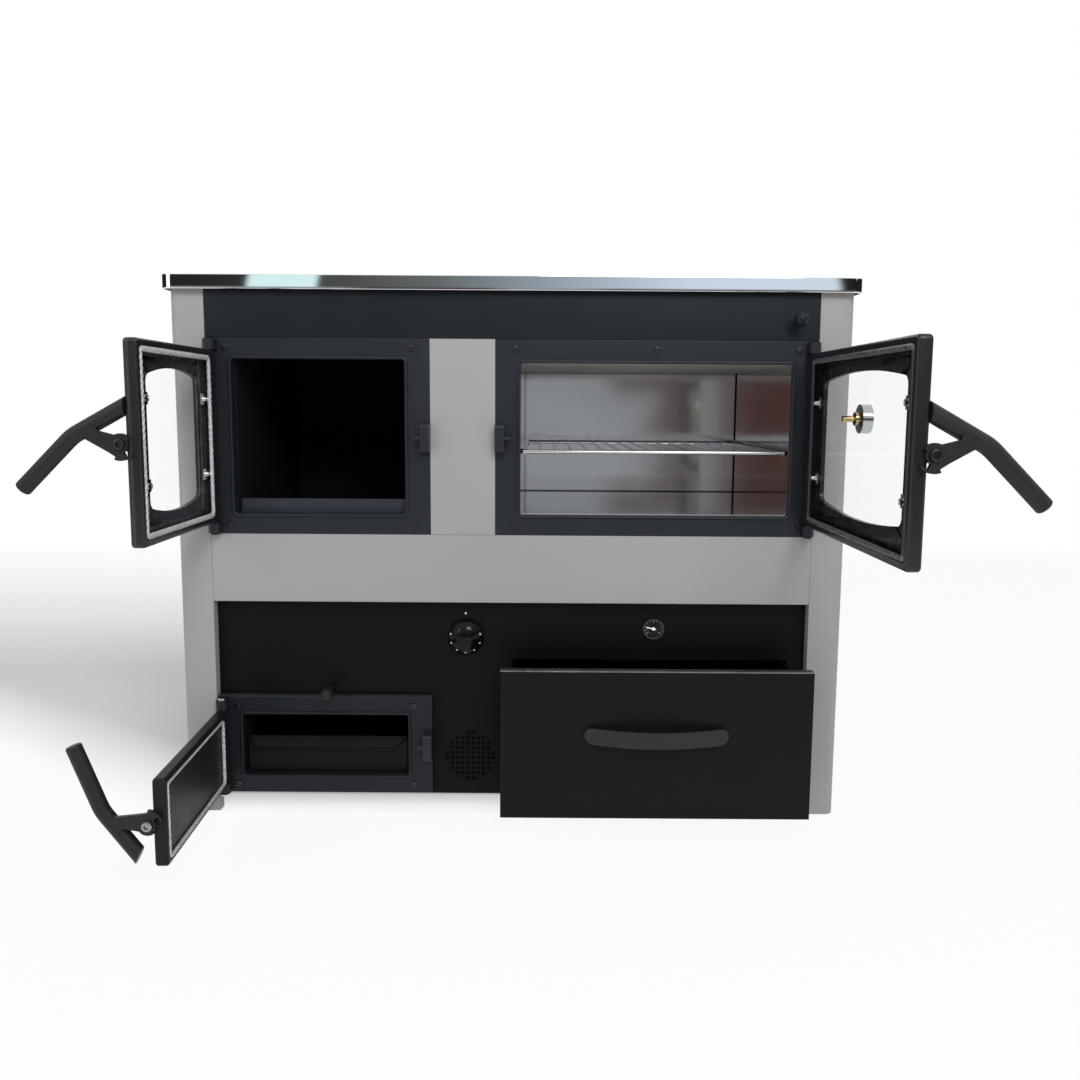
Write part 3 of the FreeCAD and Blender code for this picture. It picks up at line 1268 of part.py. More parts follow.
def air_grille():
    """Round plate of square holes behind the air opening."""
    start = ("vent_x", PANEL_BACK, "vent_z")
    disc = rod("vent_disc", "y", "vent_radius + vent_lap", start, "vent_gauge")
    count = int(value("vent_count"))
    limit = value("vent_radius - vent_hole / 2")
    pitch = value("vent_pitch")
    holes = []
    for row in range(count):
        for column in range(count):
            u, v = column - (count - 1) / 2, row - (count - 1) / 2
            if (u * u + v * v) ** 0.5 * pitch > limit:
                continue
            x, z = "vent_x + %g * vent_pitch" % u, "vent_z + %g * vent_pitch" % v
            hole_x = (x + " - vent_hole / 2", x + " + vent_hole / 2")
            hole_z = (z + " - vent_hole / 2", z + " + vent_hole / 2")
            holes.append(box("vent_%d_%d" % (row, column), hole_x,
                             (PANEL_BACK + " - 1", PANEL_BACK + " + vent_gauge + 1"), hole_z))
    return node("air_grille", cut("vent_cut", disc, holes))


FLAP_Y = "(%s + vent_gauge + flap_gap)" % PANEL_BACK
FLAP_TOP = "(vent_z + vent_radius + flap_margin)"


def flap_ears():
    """Two ears behind the panel that hold the pin of the air flap."""
    ears = []
    for i, side in enumerate((-1, 1)):
        near = "vent_radius + flap_margin + ear_gap"
        ends = ["vent_x + %d * (%s)" % (side, far) for far in (near, near + " + ear_width")]
        if side < 0:
            ends.reverse()
        y = (PANEL_BACK, FLAP_Y + " + flap_gauge + ear_width / 2")
        z = (FLAP_TOP + " - ear_reach", FLAP_TOP + " + ear_reach")
        block = box("flap_ear_%d" % i, ends, y, z)
        start = (ends[0] + " - 1", FLAP_Y + " + flap_gauge / 2", FLAP_TOP)
        hole = rod("flap_ear_hole_%d" % i, "x", "flap_pin + pin_fit", start, "ear_width + 2")
        ears.append(cut("flap_ear_cut_%d" % i, block, [hole]))
    return ears


def air_flap():
    """Plate that hangs behind the grille from a pin along its upper edge."""
    reach = "(vent_radius + flap_margin)"
    x = ("vent_x - %s" % reach, "vent_x + %s" % reach)
    y = (FLAP_Y, FLAP_Y + " + flap_gauge")
    plate = box("flap_plate", x, y, ("vent_z - vent_radius - flap_margin", FLAP_TOP))
    start = (x[0] + " - ear_gap - ear_width", FLAP_Y + " + flap_gauge / 2", FLAP_TOP)
    length = "2 * (%s + ear_gap + ear_width)" % reach
    pin = rod("flap_rod", "x", "flap_pin", start, length)
    return node("air_flap", fuse("flap_fuse", [plate, pin]))


def thermostat_body():
    """Draught regulator behind the panel, with its spindle."""
    half = "stat_box / 2"
    x = ("stat_x - " + half, "stat_x + " + half)
    z = ("stat_z - " + half, "stat_z + " + half)
    case = soft_box("stat_case", x, (PANEL_BACK, PANEL_BACK + " + stat_box_depth"), z, "5", EY)
    start = ("stat_x", "recess - stat_gap - stat_height / 2", "stat_z")
    spindle = rod("stat_spindle_rod", "y", "stat_spindle", start,
                  "stat_gap + stat_height / 2 + 2 * sheet_gauge")
    return node("thermostat_body", fuse("stat_fuse", [case, spindle]))


def thermostat_knob():
    """Round knob with a domed face and a blind bore for its spindle."""
    face = "(recess - stat_gap - stat_height)"
    drum = rod("stat_drum", "y", "stat_radius", ("stat_x", face, "stat_z"), "stat_height")
    ball = doc.addObject("Part::Sphere", "stat_ball")
    drive(ball, "Radius", "stat_dome")
    seat(ball, "stat_x", face + " + stat_dome", "stat_z")
    dome = doc.addObject("Part::Common", "stat_domed")
    dome.Base = drum
    dome.Tool = ball
    doc.recompute()
    rear = value("recess - stat_gap")

    def shoulder(edge):
        return isinstance(edge.Curve, Part.Circle) and abs(edge.BoundBox.YMax - rear) > 0.02

    dome = ease("stat_eased", dome, "stat_edge", shoulder)
    start = ("stat_x", "recess - stat_gap - stat_height / 2 - 1", "stat_z")
    bore = rod("stat_bore", "y", "stat_spindle + pin_fit", start, "stat_height / 2 + 2")
    return node("thermostat_knob", cut("stat_knob_cut", dome, [bore]))


def gauge_case():
    """Boiler thermometer: bezel in front of the panel, body behind it."""
    body = body_of("gauge_case")
    points = [
        ("0", "-gauge_in"), ("gauge_body", "-gauge_in"), ("gauge_body", "0"),
        ("gauge_bezel", "0"), ("gauge_bezel", "gauge_out - 1"),
        ("gauge_bezel - 1", "gauge_out"), ("gauge_face", "gauge_out"),
        ("gauge_face", "gauge_out - gauge_rim - lens_gauge"),
        ("0", "gauge_out - gauge_rim - lens_gauge"),
    ]
    revolve(body, "gauge_profile", points)
    body.Placement = FreeCAD.Placement(Vector(), Rotation(EX, 90))
    seat(body, "gauge_x", "recess", "gauge_z")
    return node("gauge_case", body)


def gauge_lens():
    start = ("gauge_x", "recess - gauge_out + 0.4", "gauge_z")
    return node("gauge_lens", rod("gauge_pane", "y", "gauge_face - 0.02", start, "lens_gauge"))


def gauge_needle():
    needle = pointer("gauge", "needle_hub", "gauge_face - 3.5", "4")
    needle.Placement = FreeCAD.Placement(Vector(), Rotation(EX, 90).multiply(Rotation(EZ, 168)))
    y = "recess - gauge_out + gauge_rim + lens_gauge - needle_gap"
    return node("gauge_needle", seat(needle, "gauge_x", y, "gauge_z"))


def drawer_front():
    """Drawer panel with folded edges."""
    body = body_of("drawer_front")
    x, z = ("drawer_left", "drawer_right"), ("base_level", "drawer_top")
    face = rectangle(body, "drawer_face", "XZ_Plane", x, z)
    pad(body, face, "drawer_front", True)
    hollow_x = (x[0] + " + drawer_gauge", x[1] + " - drawer_gauge")
    hollow_z = (z[0] + " + drawer_gauge", z[1] + " - drawer_gauge")
    inside = rectangle(body, "drawer_inside", "XZ_Plane", hollow_x, hollow_z, "-drawer_front")
    tray = pocket(body, inside, "drawer_front - drawer_gauge", True)
    soften(body, tray, "fold_radius", lies_at(EY, 0))
    return node("drawer_front", seat(body, "0", "-drawer_pull", "0"))


def drawer_box():
    """Open wood box behind the drawer front."""
    x = ("drawer_box_left", "drawer_box_right")
    low = "base_level + runner_rise"
    near = "drawer_gauge - drawer_pull"
    y = (near, near + " + drawer_depth")
    block = box("wood_block", x, y, (low, "drawer_box_top"))
    hollow = box("wood_hollow", (x[0] + " + drawer_gauge", x[1] + " - drawer_gauge"),
                 (y[0] + " + drawer_gauge", y[1] + " - drawer_gauge"),
                 (low + " + drawer_gauge", "drawer_box_top + 1"))
    return node("drawer_box", cut("wood_cut", block, [hollow]))


def drawer_handle():
    """Bowed band with rounded ends, standing on two feet."""
    body = body_of("bow_body")
    chord = "(bow_width / 2)"
    radius = "((%s^2 + bow_out^2) / 2 / bow_out)" % chord
    c, out, gauge = value(chord), value("bow_out"), value("bow_gauge")
    sketch = sketch_on(body, "bow_plan", "XY_Plane", "-bow_height / 2")
    ends = [Vector(-c, 0, 0), Vector(c, 0, 0), Vector(c, gauge, 0), Vector(-c, gauge, 0)]
    sketch.addGeometry(Part.Arc(ends[0], Vector(0, -out, 0), ends[1]), False)
    sketch.addGeometry(Part.LineSegment(ends[1], ends[2]), False)
    sketch.addGeometry(Part.Arc(ends[3], Vector(0, gauge - out, 0), ends[2]), False)
    sketch.addGeometry(Part.LineSegment(ends[3], ends[0]), False)
    for first, end, second, start in ((0, 2, 1, 1), (1, 2, 2, 2), (2, 1, 3, 1), (3, 2, 0, 1)):
        sketch.addConstraint(Sketcher.Constraint("Coincident", first, end, second, start))
    spots = (("-" + chord, "0"), (chord, "0"), (chord, "bow_gauge"), ("-" + chord, "bow_gauge"))
    for geometry, end, point in ((1, 1, spots[1]), (1, 2, spots[2]), (3, 1, spots[3]),
                                 (3, 2, spots[0])):
        tie(sketch, geometry, end, point)
    for geometry in (0, 2):
        rule = Sketcher.Constraint("Radius", geometry, value(radius))
        drive(sketch, "Constraints[%d]" % sketch.addConstraint(rule), radius)
    pad(body, sketch, "bow_height")
    straight = "(%s - bow_height / 2)" % chord
    y = ("-bow_out - 1", "bow_gauge + 1")
    z = ("-bow_height / 2 - 0.01", "bow_height / 2 + 0.01")
    rounds = [box("bow_middle", ("-" + straight, straight), y, z)]
    for i, side in enumerate(("-1", "1")):
        at = ("%s * %s" % (side, straight), y[0], "0")
        length = "bow_out + bow_gauge + 2"
        rounds.append(rod("bow_end_%d" % i, "y", "bow_height / 2 + 0.01", at, length))
    band = doc.addObject("Part::Common", "bow_band")
    band.Base = body
    band.Tool = fuse("bow_rounds", rounds)
    band.Refine = True
    middle = "(drawer_left + drawer_right) / 2"
    return node("drawer_handle", seat(band, middle, "-drawer_pull - bow_gauge", "bow_z"))


# Flue damper

GUIDE_LOW = "(damper_z - damper_rod / 2 - damper_plate - guide_gauge)"


def damper_guide():
    """Shelf with the bypass port and two edges that guide the damper plate."""
    half = "(damper_width / 2 + guide_edge)"
    x = (DAMPER_X + " - " + half, LINER)
    y = (BACK + " - sheet_gauge - 2 * damper_length", BACK + " - sheet_gauge")
    shelf = box("guide_shelf", x, y, (GUIDE_LOW, GUIDE_LOW + " + guide_gauge"))
    z = (GUIDE_LOW, GUIDE_LOW + " + guide_gauge + damper_plate")
    edge_x = (x[0], x[0] + " + guide_edge - 1")
    left = box("guide_left", edge_x, y, z)
    right = box("guide_right", (DAMPER_X + " + damper_width / 2 + 1", LINER), y, z)
    centre = (DAMPER_X, BACK + " - sheet_gauge - 0.55 * damper_length", GUIDE_LOW + " - 1")
    port = rod("guide_port", "z", "damper_port", centre, "guide_gauge + 2")
    return node("damper_guide", cut("guide_cut", fuse("guide_fuse", [shelf, left, right]), [port]))


def damper_slide():
    """Damper plate with the rod that pulls it."""
    far = BACK + " - sheet_gauge - 1"
    x = (DAMPER_X + " - damper_width / 2", DAMPER_X + " + damper_width / 2")
    z = (GUIDE_LOW + " + guide_gauge", GUIDE_LOW + " + guide_gauge + damper_plate")
    plate = box("damper_sheet", x, (far + " - damper_length", far), z)
    start = (DAMPER_X, "-damper_out", "damper_z")
    stem = rod("damper_stem", "y", "damper_rod", start, far + " - 20 + damper_out")
    return node("damper_slide", fuse("damper_fuse", [plate, stem]))


def damper_knob():
    """Ball on the damper rod."""
    ball = doc.addObject("Part::Sphere", "ball")
    drive(ball, "Radius", "damper_ball")
    seat(ball, DAMPER_X, "-damper_out", "damper_z")
    start = (DAMPER_X, "-damper_out", "damper_z")
    bore = rod("ball_bore", "y", "damper_rod + thread_fit", start, "damper_ball + 1")
    return node("damper_knob", cut("ball_cut", ball, [bore]))


def build():
    side_panel("side_panel_left", -1)
    side_panel("side_panel_right", 1)
    rear_panel()
    base_plate()
    levelling_feet()
    top_rail()
    hob_plate()
    hob_ring()
    hob_lid()
    flue_collar()
    damper_way = ((DAMPER_X, "damper_z"), "damper_rod + damper_fit")
    folded_panel("upper_front_panel", ("-" + INNER, INNER), ("frame_top", "panel_top"),
                 [damper_way])
    folded_panel("centre_pillar", ("pillar_left", OVEN_EDGE), ("frame_base", "frame_top"))
    folded_panel("middle_panel", ("-" + INNER, INNER), ("mid_base", "frame_base"))
    for door in DOORS:
        door_frame(door)
        door_casting(door)
        door_gasket(door)
        handle_screw(door)
    for door in (FIRE, OVEN):
        door_glass(door)
        glass_clips(door)
        latch_handle(door, 1, 0)
    latch_handle(ASH, -1, -value("ash_turn"))
    frame_screws()
    hinge_pins()
    latch_keepers()
    oven_box()
    oven_rack()
    thermometer_case()
    thermometer_needle()
    boiler_jacket()
    boiler_pipes()
    log_guard()
    grate()
    shaker_handle()
    ash_chamber()
    ash_pan()
    lower_panel()
    air_grille()
    air_flap()
    thermostat_body()
    thermostat_knob()
    gauge_case()
    gauge_lens()
    gauge_needle()
    drawer_front()
    drawer_box()
    drawer_handle()
    damper_guide()
    damper_slide()
    damper_knob()


build()
doc.recompute()
for item in doc.Objects:
    if "Invalid" in item.State or "Error" in item.State:
        raise RuntimeError("not built: " + item.Label)
os.makedirs("parts", exist_ok=True)
door_tip = value("%s - %s - 2 * lever_gap - lever_gauge - pivot_head_gauge"
                 % (OVEN["axis_y"], OVEN["reach"]))
middle_y = (value("body_depth + pipe_out") + door_tip) / 2
for item in NODES:
    if item.Shape.isNull() or not item.Shape.isValid():
        raise RuntimeError("no good solid: " + item.Label)
    solid = item.Shape.copy()
    solid.translate(Vector(0, -middle_y, 0))
    solid.exportStep("parts/%s.step" % item.Label)
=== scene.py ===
import json
import math

import bmesh
import bpy
import numpy as np
from mathutils import Euler, Matrix, Quaternion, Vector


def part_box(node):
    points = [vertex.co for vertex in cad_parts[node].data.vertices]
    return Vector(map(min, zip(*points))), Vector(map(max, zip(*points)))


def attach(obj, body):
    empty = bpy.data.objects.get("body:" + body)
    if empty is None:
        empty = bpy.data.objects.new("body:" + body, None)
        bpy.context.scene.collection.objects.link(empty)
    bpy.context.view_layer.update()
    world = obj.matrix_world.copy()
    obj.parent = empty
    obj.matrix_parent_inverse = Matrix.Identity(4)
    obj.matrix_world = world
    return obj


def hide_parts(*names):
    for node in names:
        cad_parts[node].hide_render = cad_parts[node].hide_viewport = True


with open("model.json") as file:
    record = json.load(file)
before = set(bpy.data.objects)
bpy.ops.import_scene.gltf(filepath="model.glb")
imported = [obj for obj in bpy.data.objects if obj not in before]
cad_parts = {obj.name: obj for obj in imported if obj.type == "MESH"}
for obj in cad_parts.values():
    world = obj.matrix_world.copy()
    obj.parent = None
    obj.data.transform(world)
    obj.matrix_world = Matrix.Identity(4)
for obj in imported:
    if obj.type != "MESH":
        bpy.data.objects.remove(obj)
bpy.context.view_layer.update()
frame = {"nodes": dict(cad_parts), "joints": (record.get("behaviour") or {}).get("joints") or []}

bl_info = {
    "name": "Wood cookstove dress",
    "version": (1, 0, 0),
    "blender": (4, 5, 0),
    "location": "View3D > Sidebar > Stove",
    "description": "Finishes, seals, dials and studio for the wood cookstove",
    "category": "Object",
}

X, Y, Z = range(3)
NODES = frame["nodes"]
FRONT_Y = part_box("centre_pillar")[0][Y]

# Each finish and the CAD nodes that wear it
WEARS = {
    "grey enamel": "side_panel_left side_panel_right centre_pillar middle_panel",
    "upper panel enamel": "upper_front_panel damper_knob",
    "anthracite enamel": "firebox_frame oven_frame latch_keepers",
    "ash frame enamel": "ash_frame",
    "guard enamel": "log_guard",
    "black enamel": "lower_panel air_grille",
    "drawer enamel": "drawer_front drawer_box ash_pan",
    "drawer handle paint": "drawer_handle",
    "knob plastic": "thermostat_knob thermostat_body",
    "pointer white": "thermometer_needle gauge_needle",
    "handle paint": "firebox_handle oven_handle ash_handle shaker_handle",
    "door casting paint": "oven_door_casting",
    "fire door paint": "firebox_door_casting",
    "ash door paint": "ash_door_casting",
    "hob iron": "hob_plate hob_ring hob_lid flue_collar",
    "soot": "grate boiler_jacket ash_chamber air_flap damper_guide",
    "polished rail": "top_rail",
    "oven steel": "oven_box",
    "rack wire": "oven_rack",
    "bright steel": "firebox_glass_clips oven_glass_clips ash_handle_screw",
    "blackened steel": "firebox_handle_screw oven_handle_screw frame_screws damper_slide",
    "hinge pins": "hinge_pins",
    "gauge bezel": "gauge_case",
    "thermometer plating": "thermometer_case",
    "zinc sheet": "boiler_pipes rear_panel base_plate levelling_feet",
    "door glass": "firebox_glass oven_glass gauge_lens",
    "pale rope core": "firebox_gasket ash_gasket oven_gasket",
}

# Paint: colour, lightness, gloss, specular level, grains per metre, bump, dust
PAINTS = {
    "grey enamel": ("grey", 1.0, 0.42, 0.3, 700.0, 0.05, 0.03),
    "anthracite enamel": ("dark", 1.0, 0.36, 0.26, 800.0, 0.08, 0.02),
    # The ash frame's anthracite is darkened to 0.72, as painted shade
    "ash frame enamel": ("dark", 0.72, 0.36, 0.2, 800.0, 0.08, 0.02),
    "upper panel enamel": ("upper", 1.0, 0.36, 0.22, 800.0, 0.08, 0.015),
    "guard enamel": ("dark", 1.7, 0.3, 0.4, 500.0, 0.15, 0.05),
    "black enamel": ("black", 1.0, 0.4, 0.1, 900.0, 0.06, 0.006),
    "drawer enamel": ("drawer", 1.0, 0.4, 0.12, 900.0, 0.06, 0.008),
    "drawer handle paint": ("bow", 1.0, 0.42, 0.3, 900.0, 0.06, 0.02),
    "knob plastic": ((0.004, 0.004, 0.0045), 1.0, 0.09, 0.17, 1500.0, 0.02, 0.003),
    "pointer white": ((0.8, 0.8, 0.79), 1.0, 0.5, 0.3, 900.0, 0.02, 0.02),
    "dial white": ((0.78, 0.78, 0.77), 1.0, 0.45, 0.3, 900.0, 0.01, 0.01),
    "dial black": ((0.005, 0.0055, 0.007), 1.0, 0.5, 0.1, 1200.0, 0.02, 0.01),
    "dial cream": ((0.62, 0.61, 0.57), 1.0, 0.55, 0.25, 1200.0, 0.02, 0.02),
    "dial grey": ((0.24, 0.24, 0.24), 1.0, 0.5, 0.1, 900.0, 0.01, 0.01),
}

# Painted casting: colour, gloss, specular level, bump
CASTINGS = {
    "handle paint": ("handle", 0.45, 0.3, 0.12),
    "door casting paint": ("door", 0.26, 0.4, 0.08),
    "fire door paint": ("door", 0.26, 0.4, 0.08),
    "ash door paint": ("door", 0.42, 0.16, 0.06),
    "hob iron": ("iron", 0.45, 0.5, 0.2),
}

# Bare metal: colour, gloss, stretch of its marks, marks per metre, bump, spread of gloss
STEEL = (0.66, 0.66, 0.66)
METALS = {
    "polished rail": ((0.88, 0.89, 0.9), 0.035, (0.4, 30, 30), 40.0, 0.01, 0.2),
    "rack wire": (STEEL, 0.14, (4, 4, 4), 200.0, 0.03, 0.3),
    "bright steel": (STEEL, 0.2, (9, 9, 9), 120.0, 0.05, 0.35),
    "blackened steel": ((0.07, 0.07, 0.075), 0.38, (5, 5, 5), 160.0, 0.05, 0.3),
    "gauge bezel": ((0.1, 0.1, 0.104), 0.2, (8, 8, 8), 90.0, 0.02, 0.3),
    "zinc sheet": ((0.5, 0.51, 0.52), 0.36, (1, 1, 1), 18.0, 0.05, 0.4),
    "screw steel": (STEEL, 0.2, (9, 9, 9), 160.0, 0.05, 0.35),
    "oiled screw": ((0.055, 0.058, 0.064), 0.32, (9, 9, 9), 160.0, 0.05, 0.3),
    "plated screw": ((0.36, 0.36, 0.36), 0.3, (9, 9, 9), 160.0, 0.05, 0.4),
}


# Sizes and colours

def colour(name, words, default):
    """Colour property with linear parts."""
    return bpy.props.FloatVectorProperty(name=name, description=words, default=default, size=3,
                                         min=0.0, max=1.0, subtype="COLOR")


def length(name, words, default):
    """Length property in metres."""
    return bpy.props.FloatProperty(name=name, description=words, default=default, unit="LENGTH",
                                   subtype="DISTANCE", precision=5)


def angle(name, words, degrees):
    """Angle property, its default given in degrees."""
    return bpy.props.FloatProperty(name=name, description=words, default=math.radians(degrees),
                                   unit="ROTATION", subtype="ANGLE")


def power(name, words, default):
    """Strength of a light."""
    return bpy.props.FloatProperty(name=name, description=words, default=default, min=0.0)


class StovePaint(bpy.types.PropertyGroup):
    grey: colour("Grey panels", "Enamel of the side and middle panels", (0.36, 0.36, 0.357))
    dark: colour("Dark frames", "Anthracite of the cast frames", (0.0155, 0.019, 0.026))
    upper: colour("Upper panel", "Anthracite of the upper front panel", (0.0088, 0.0122, 0.0164))
    black: colour("Lower panel", "Black of the lower front panel", (0.0042, 0.0042, 0.0046))
    drawer: colour("Drawer", "Black of the drawer and the ash pan", (0.0064, 0.0064, 0.0067))
    handle: colour("Handles", "Dark grey of the door handles", (0.0125, 0.0135, 0.0145))
    bow: colour("Drawer handle", "Lighter grey of the drawer handle", (0.0175, 0.0185, 0.0215))
    door: colour("Door castings", "Black of the three cast doors", (0.0105, 0.0118, 0.0135))
    iron: colour("Hob", "Ground iron of the hob", (0.045, 0.045, 0.047))
    soot: colour("Soot", "Black of the fire space", (0.006, 0.0058, 0.0055))


class StoveRope(bpy.types.PropertyGroup):
    pale: colour("Pale rope", "Glass fibre seal of the firebox and ash doors", (0.86, 0.86, 0.85))
    dark: colour("Dark rope", "Graphite seal of the oven door", (0.034, 0.036, 0.04))
    pitch: length("Twist", "Length of one turn of the rope's strands", 0.009)
    strands: bpy.props.IntProperty(name="Strands", description="Strands in the rope", default=3,
                                   min=2, max=6)
    wide: length("Width", "Width of the firebox and oven seals inside the rim", 0.008)
    slim: length("Ash width", "Width of the ash door's seal inside the rim", 0.0045)


class StoveStage(bpy.types.PropertyGroup):
    eye: bpy.props.FloatVectorProperty(
        name="Eye", description="Camera place, from the middle of the front panels at floor level",
        default=(0.04468, -1.60693, 0.65768), size=3, unit="LENGTH", subtype="TRANSLATION")
    pitch: angle("Pitch", "Camera angle below the horizon", 7.42)
    roll: angle("Roll", "Camera turn about its own axis", 0.38)
    lens: bpy.props.FloatProperty(name="Lens", description="Focal length on a 36 mm sensor",
                                  default=34.56, min=10.0, unit="CAMERA")
    floor: colour("Floor", "Pale studio floor", (0.97, 0.97, 0.97))
    room: colour("Room", "Tone of the screen behind the camera", (0.3, 0.318, 0.345))
    warm: colour("Warm side", "Tone of the screen's warm patch", (0.084, 0.042, 0.037))
    dim: colour("Dim side", "Tone of the screen's dim patch", (0.105, 0.083, 0.075))
    sky: power("Ambient", "Strength of the even light", 0.43)
    key: power("Key", "Power of the main softbox, in watts", 59.0)
    fill: power("Fill", "Power of the fill softbox, in watts", 12.0)


def sizes(name):
    """A property group of the scene."""
    return getattr(bpy.context.scene, name)


def paint_of(tint):
    """Colour from its name in the paint group, or the colour itself."""
    return tuple(getattr(sizes("stove_paint"), tint)) if isinstance(tint, str) else tint


# Node trees

def feed(node, inputs):
    """Set or link a node's inputs, by name or number."""
    for key, given in inputs.items():
        socket = node.inputs[key]
        if isinstance(given, bpy.types.NodeSocket):
            node.id_data.links.new(given, socket)
        else:
            socket.default_value = (*given, 1.0) if socket.type == "RGBA" else given


def plant(tree, kind, inputs=None, **settings):
    """Add a node, set its properties and feed its inputs."""
    node = tree.nodes.new(kind)
    for key, setting in settings.items():
        setattr(node, key, setting)
    feed(node, inputs or {})
    return node


def lay_out(tree):
    """Stand each node one column to the left of the nodes that it feeds."""
    wide, high = 220, 240
    links = [(link.from_node.name, link.to_node.name) for link in tree.links]
    column = dict.fromkeys(tree.nodes.keys(), 0)
    for _ in range(len(column)):
        for source, target in links:
            column[source] = max(column[source], column[target] + 1)
    filled = {}
    for name, place in column.items():
        row = filled.get(place, 0)
        tree.nodes[name].location = (-wide * place, -high * row)
        filled[place] = row + 1


def ramp(source, stops):
    """Colour ramp whose stops are (place, grey or colour)."""
    node = plant(source.id_data, "ShaderNodeValToRGB", {"Fac": source})
    elements = node.color_ramp.elements
    elements.remove(elements[1])
    elements[0].position = stops[0][0]
    for number, (place, tone) in enumerate(stops):
        element = elements.new(place) if number else elements[0]
        rgb = tone if isinstance(tone, tuple) else (tone, tone, tone)
        element.color = (*rgb, 1.0)
    return node.outputs["Color"]


def span(source, start, end, low=0.0, high=1.0):
    """Low at start, high at end, straight between them and level beyond."""
    ends = {"From Min": start, "From Max": end, "To Min": low, "To Max": high}
    return plant(source.id_data, "ShaderNodeMapRange", {"Value": source, **ends}).outputs["Result"]


def level(source, low, high):
    """Stretch a value from 0..1 to low..high."""
    return span(source, 0.0, 1.0, low, high)


def place_of(tree, stretch=(1, 1, 1)):
    """Object coordinates, stretched per axis."""
    spot = plant(tree, "ShaderNodeTexCoord").outputs["Object"]
    return plant(tree, "ShaderNodeMapping", {"Vector": spot, "Scale": stretch}).outputs["Vector"]


def axis_of(tree, axis):
    """One object coordinate."""
    spot = plant(tree, "ShaderNodeTexCoord").outputs["Object"]
    return plant(tree, "ShaderNodeSeparateXYZ", {"Vector": spot}).outputs[axis]


def noise(where, scale, detail, rough):
    """Cloudy value from 0 to 1: lumps per metre, finer layers on them and how strong those are."""
    shape = {"Scale": scale, "Detail": detail, "Roughness": rough}
    return plant(where.id_data, "ShaderNodeTexNoise", {"Vector": where, **shape}).outputs["Fac"]


def sums(operation, one, two):
    """Math node on two values, of which one or both are sockets."""
    tree = (one if isinstance(one, bpy.types.NodeSocket) else two).id_data
    return plant(tree, "ShaderNodeMath", {0: one, 1: two}, operation=operation).outputs[0]


def times(first, *others):
    """Product of values, the first of them a socket."""
    for other in others:
        first = sums("MULTIPLY", first, other)
    return first


def most(first, *others):
    """Largest of values, the first of them a socket."""
    for other in others:
        first = sums("MAXIMUM", first, other)
    return first


def between(value, start, end, soft):
    """1 from start to end, falling to 0 over a soft margin on each side."""
    rise = span(value, start - soft, start)
    return times(rise, span(value, end, end + soft, 1.0, 0.0))


def blend(amount, one, two):
    """Colour that is one where the amount is 0 and two where it is 1."""
    return plant(amount.id_data, "ShaderNodeMix", {0: amount, 6: one, 7: two},
                 data_type="RGBA").outputs[2]


def shade(rgb, by):
    """Colour made lighter or darker by a factor, up to white."""
    return tuple(min(1.0, part * by) for part in rgb)


def relief(height, strength, distance):
    """Normal bent by a height."""
    inputs = {"Height": height, "Strength": strength, "Distance": distance}
    return plant(height.id_data, "ShaderNodeBump", inputs).outputs["Normal"]


def seen(tree):
    """1 for rays from the camera, off shiny surfaces or through glass."""
    path = plant(tree, "ShaderNodeLightPath").outputs
    return most(*(path["Is %s Ray" % kind] for kind in ("Camera", "Glossy", "Transmission")))


def highlight_line_mask(where, edges):
    """Painted highlight lines along edges, broken by noise.

    An edge is its strength and the (axis, place, width) planes that meet there, each fading
    over its width."""
    lines = []
    for strength, *planes in edges:
        near = [between(axis_of(where.id_data, axis), place - width * 0.2, place + width * 0.2, width)
                for axis, place, width in planes]
        lines.append(times(*near, strength))
    broken = ramp(noise(where, 30.0, 6.0, 0.7), [(0.3, 0.35), (0.7, 1.0)])
    return times(most(*lines), broken)


# Materials

def finish_of(name):
    """New material with a Principled shader on its output."""
    material = bpy.data.materials.new(name)
    material.use_nodes = True
    tree = material.node_tree
    tree.nodes.clear()
    shader = plant(tree, "ShaderNodeBsdfPrincipled")
    plant(tree, "ShaderNodeOutputMaterial", {"Surface": shader.outputs["BSDF"]})
    return material, tree, shader


def finished(material, shader, inputs):
    """The material, with its shader's inputs fed and its nodes laid out."""
    feed(shader, inputs)
    lay_out(material.node_tree)
    return material


def enamel(name, bare=1.0, *edges):
    """Painted sheet: drifting tone, smears in the gloss, orange-peel bump and dust.

    Given edges get painted highlight lines, paler by the bare factor."""
    tint, lightness, gloss, specular, grain, bump, dust = PAINTS[name]
    rgb = shade(paint_of(tint), lightness)
    material, tree, shader = finish_of(name)
    where = place_of(tree)
    drift = noise(where, 3.2, 3.0, 0.5)
    tone = blend(drift, shade(rgb, 0.93), shade(rgb, 1.07))
    motes = ramp(noise(where, 240.0, 6.0, 0.7), [(0.62, 0.0), (0.78, dust)])
    tone = blend(motes, tone, (0.35, 0.35, 0.34))
    if edges:
        # Painted highlight lines on the given edges, paler by the bare factor
        painted_highlight = times(highlight_line_mask(where, edges), 0.55)
        tone = blend(painted_highlight, tone, shade(rgb, bare))
    smear = noise(place_of(tree, (1, 1, 0.25)), 14.0, 5.0, 0.6)
    peel = noise(where, grain, 2.0, 0.5)
    return finished(material, shader, {
        "Base Color": tone,
        "Roughness": level(smear, gloss * 0.82, gloss * 1.22),
        "Specular IOR Level": specular,
        "Normal": relief(peel, bump, 0.0004),
    })


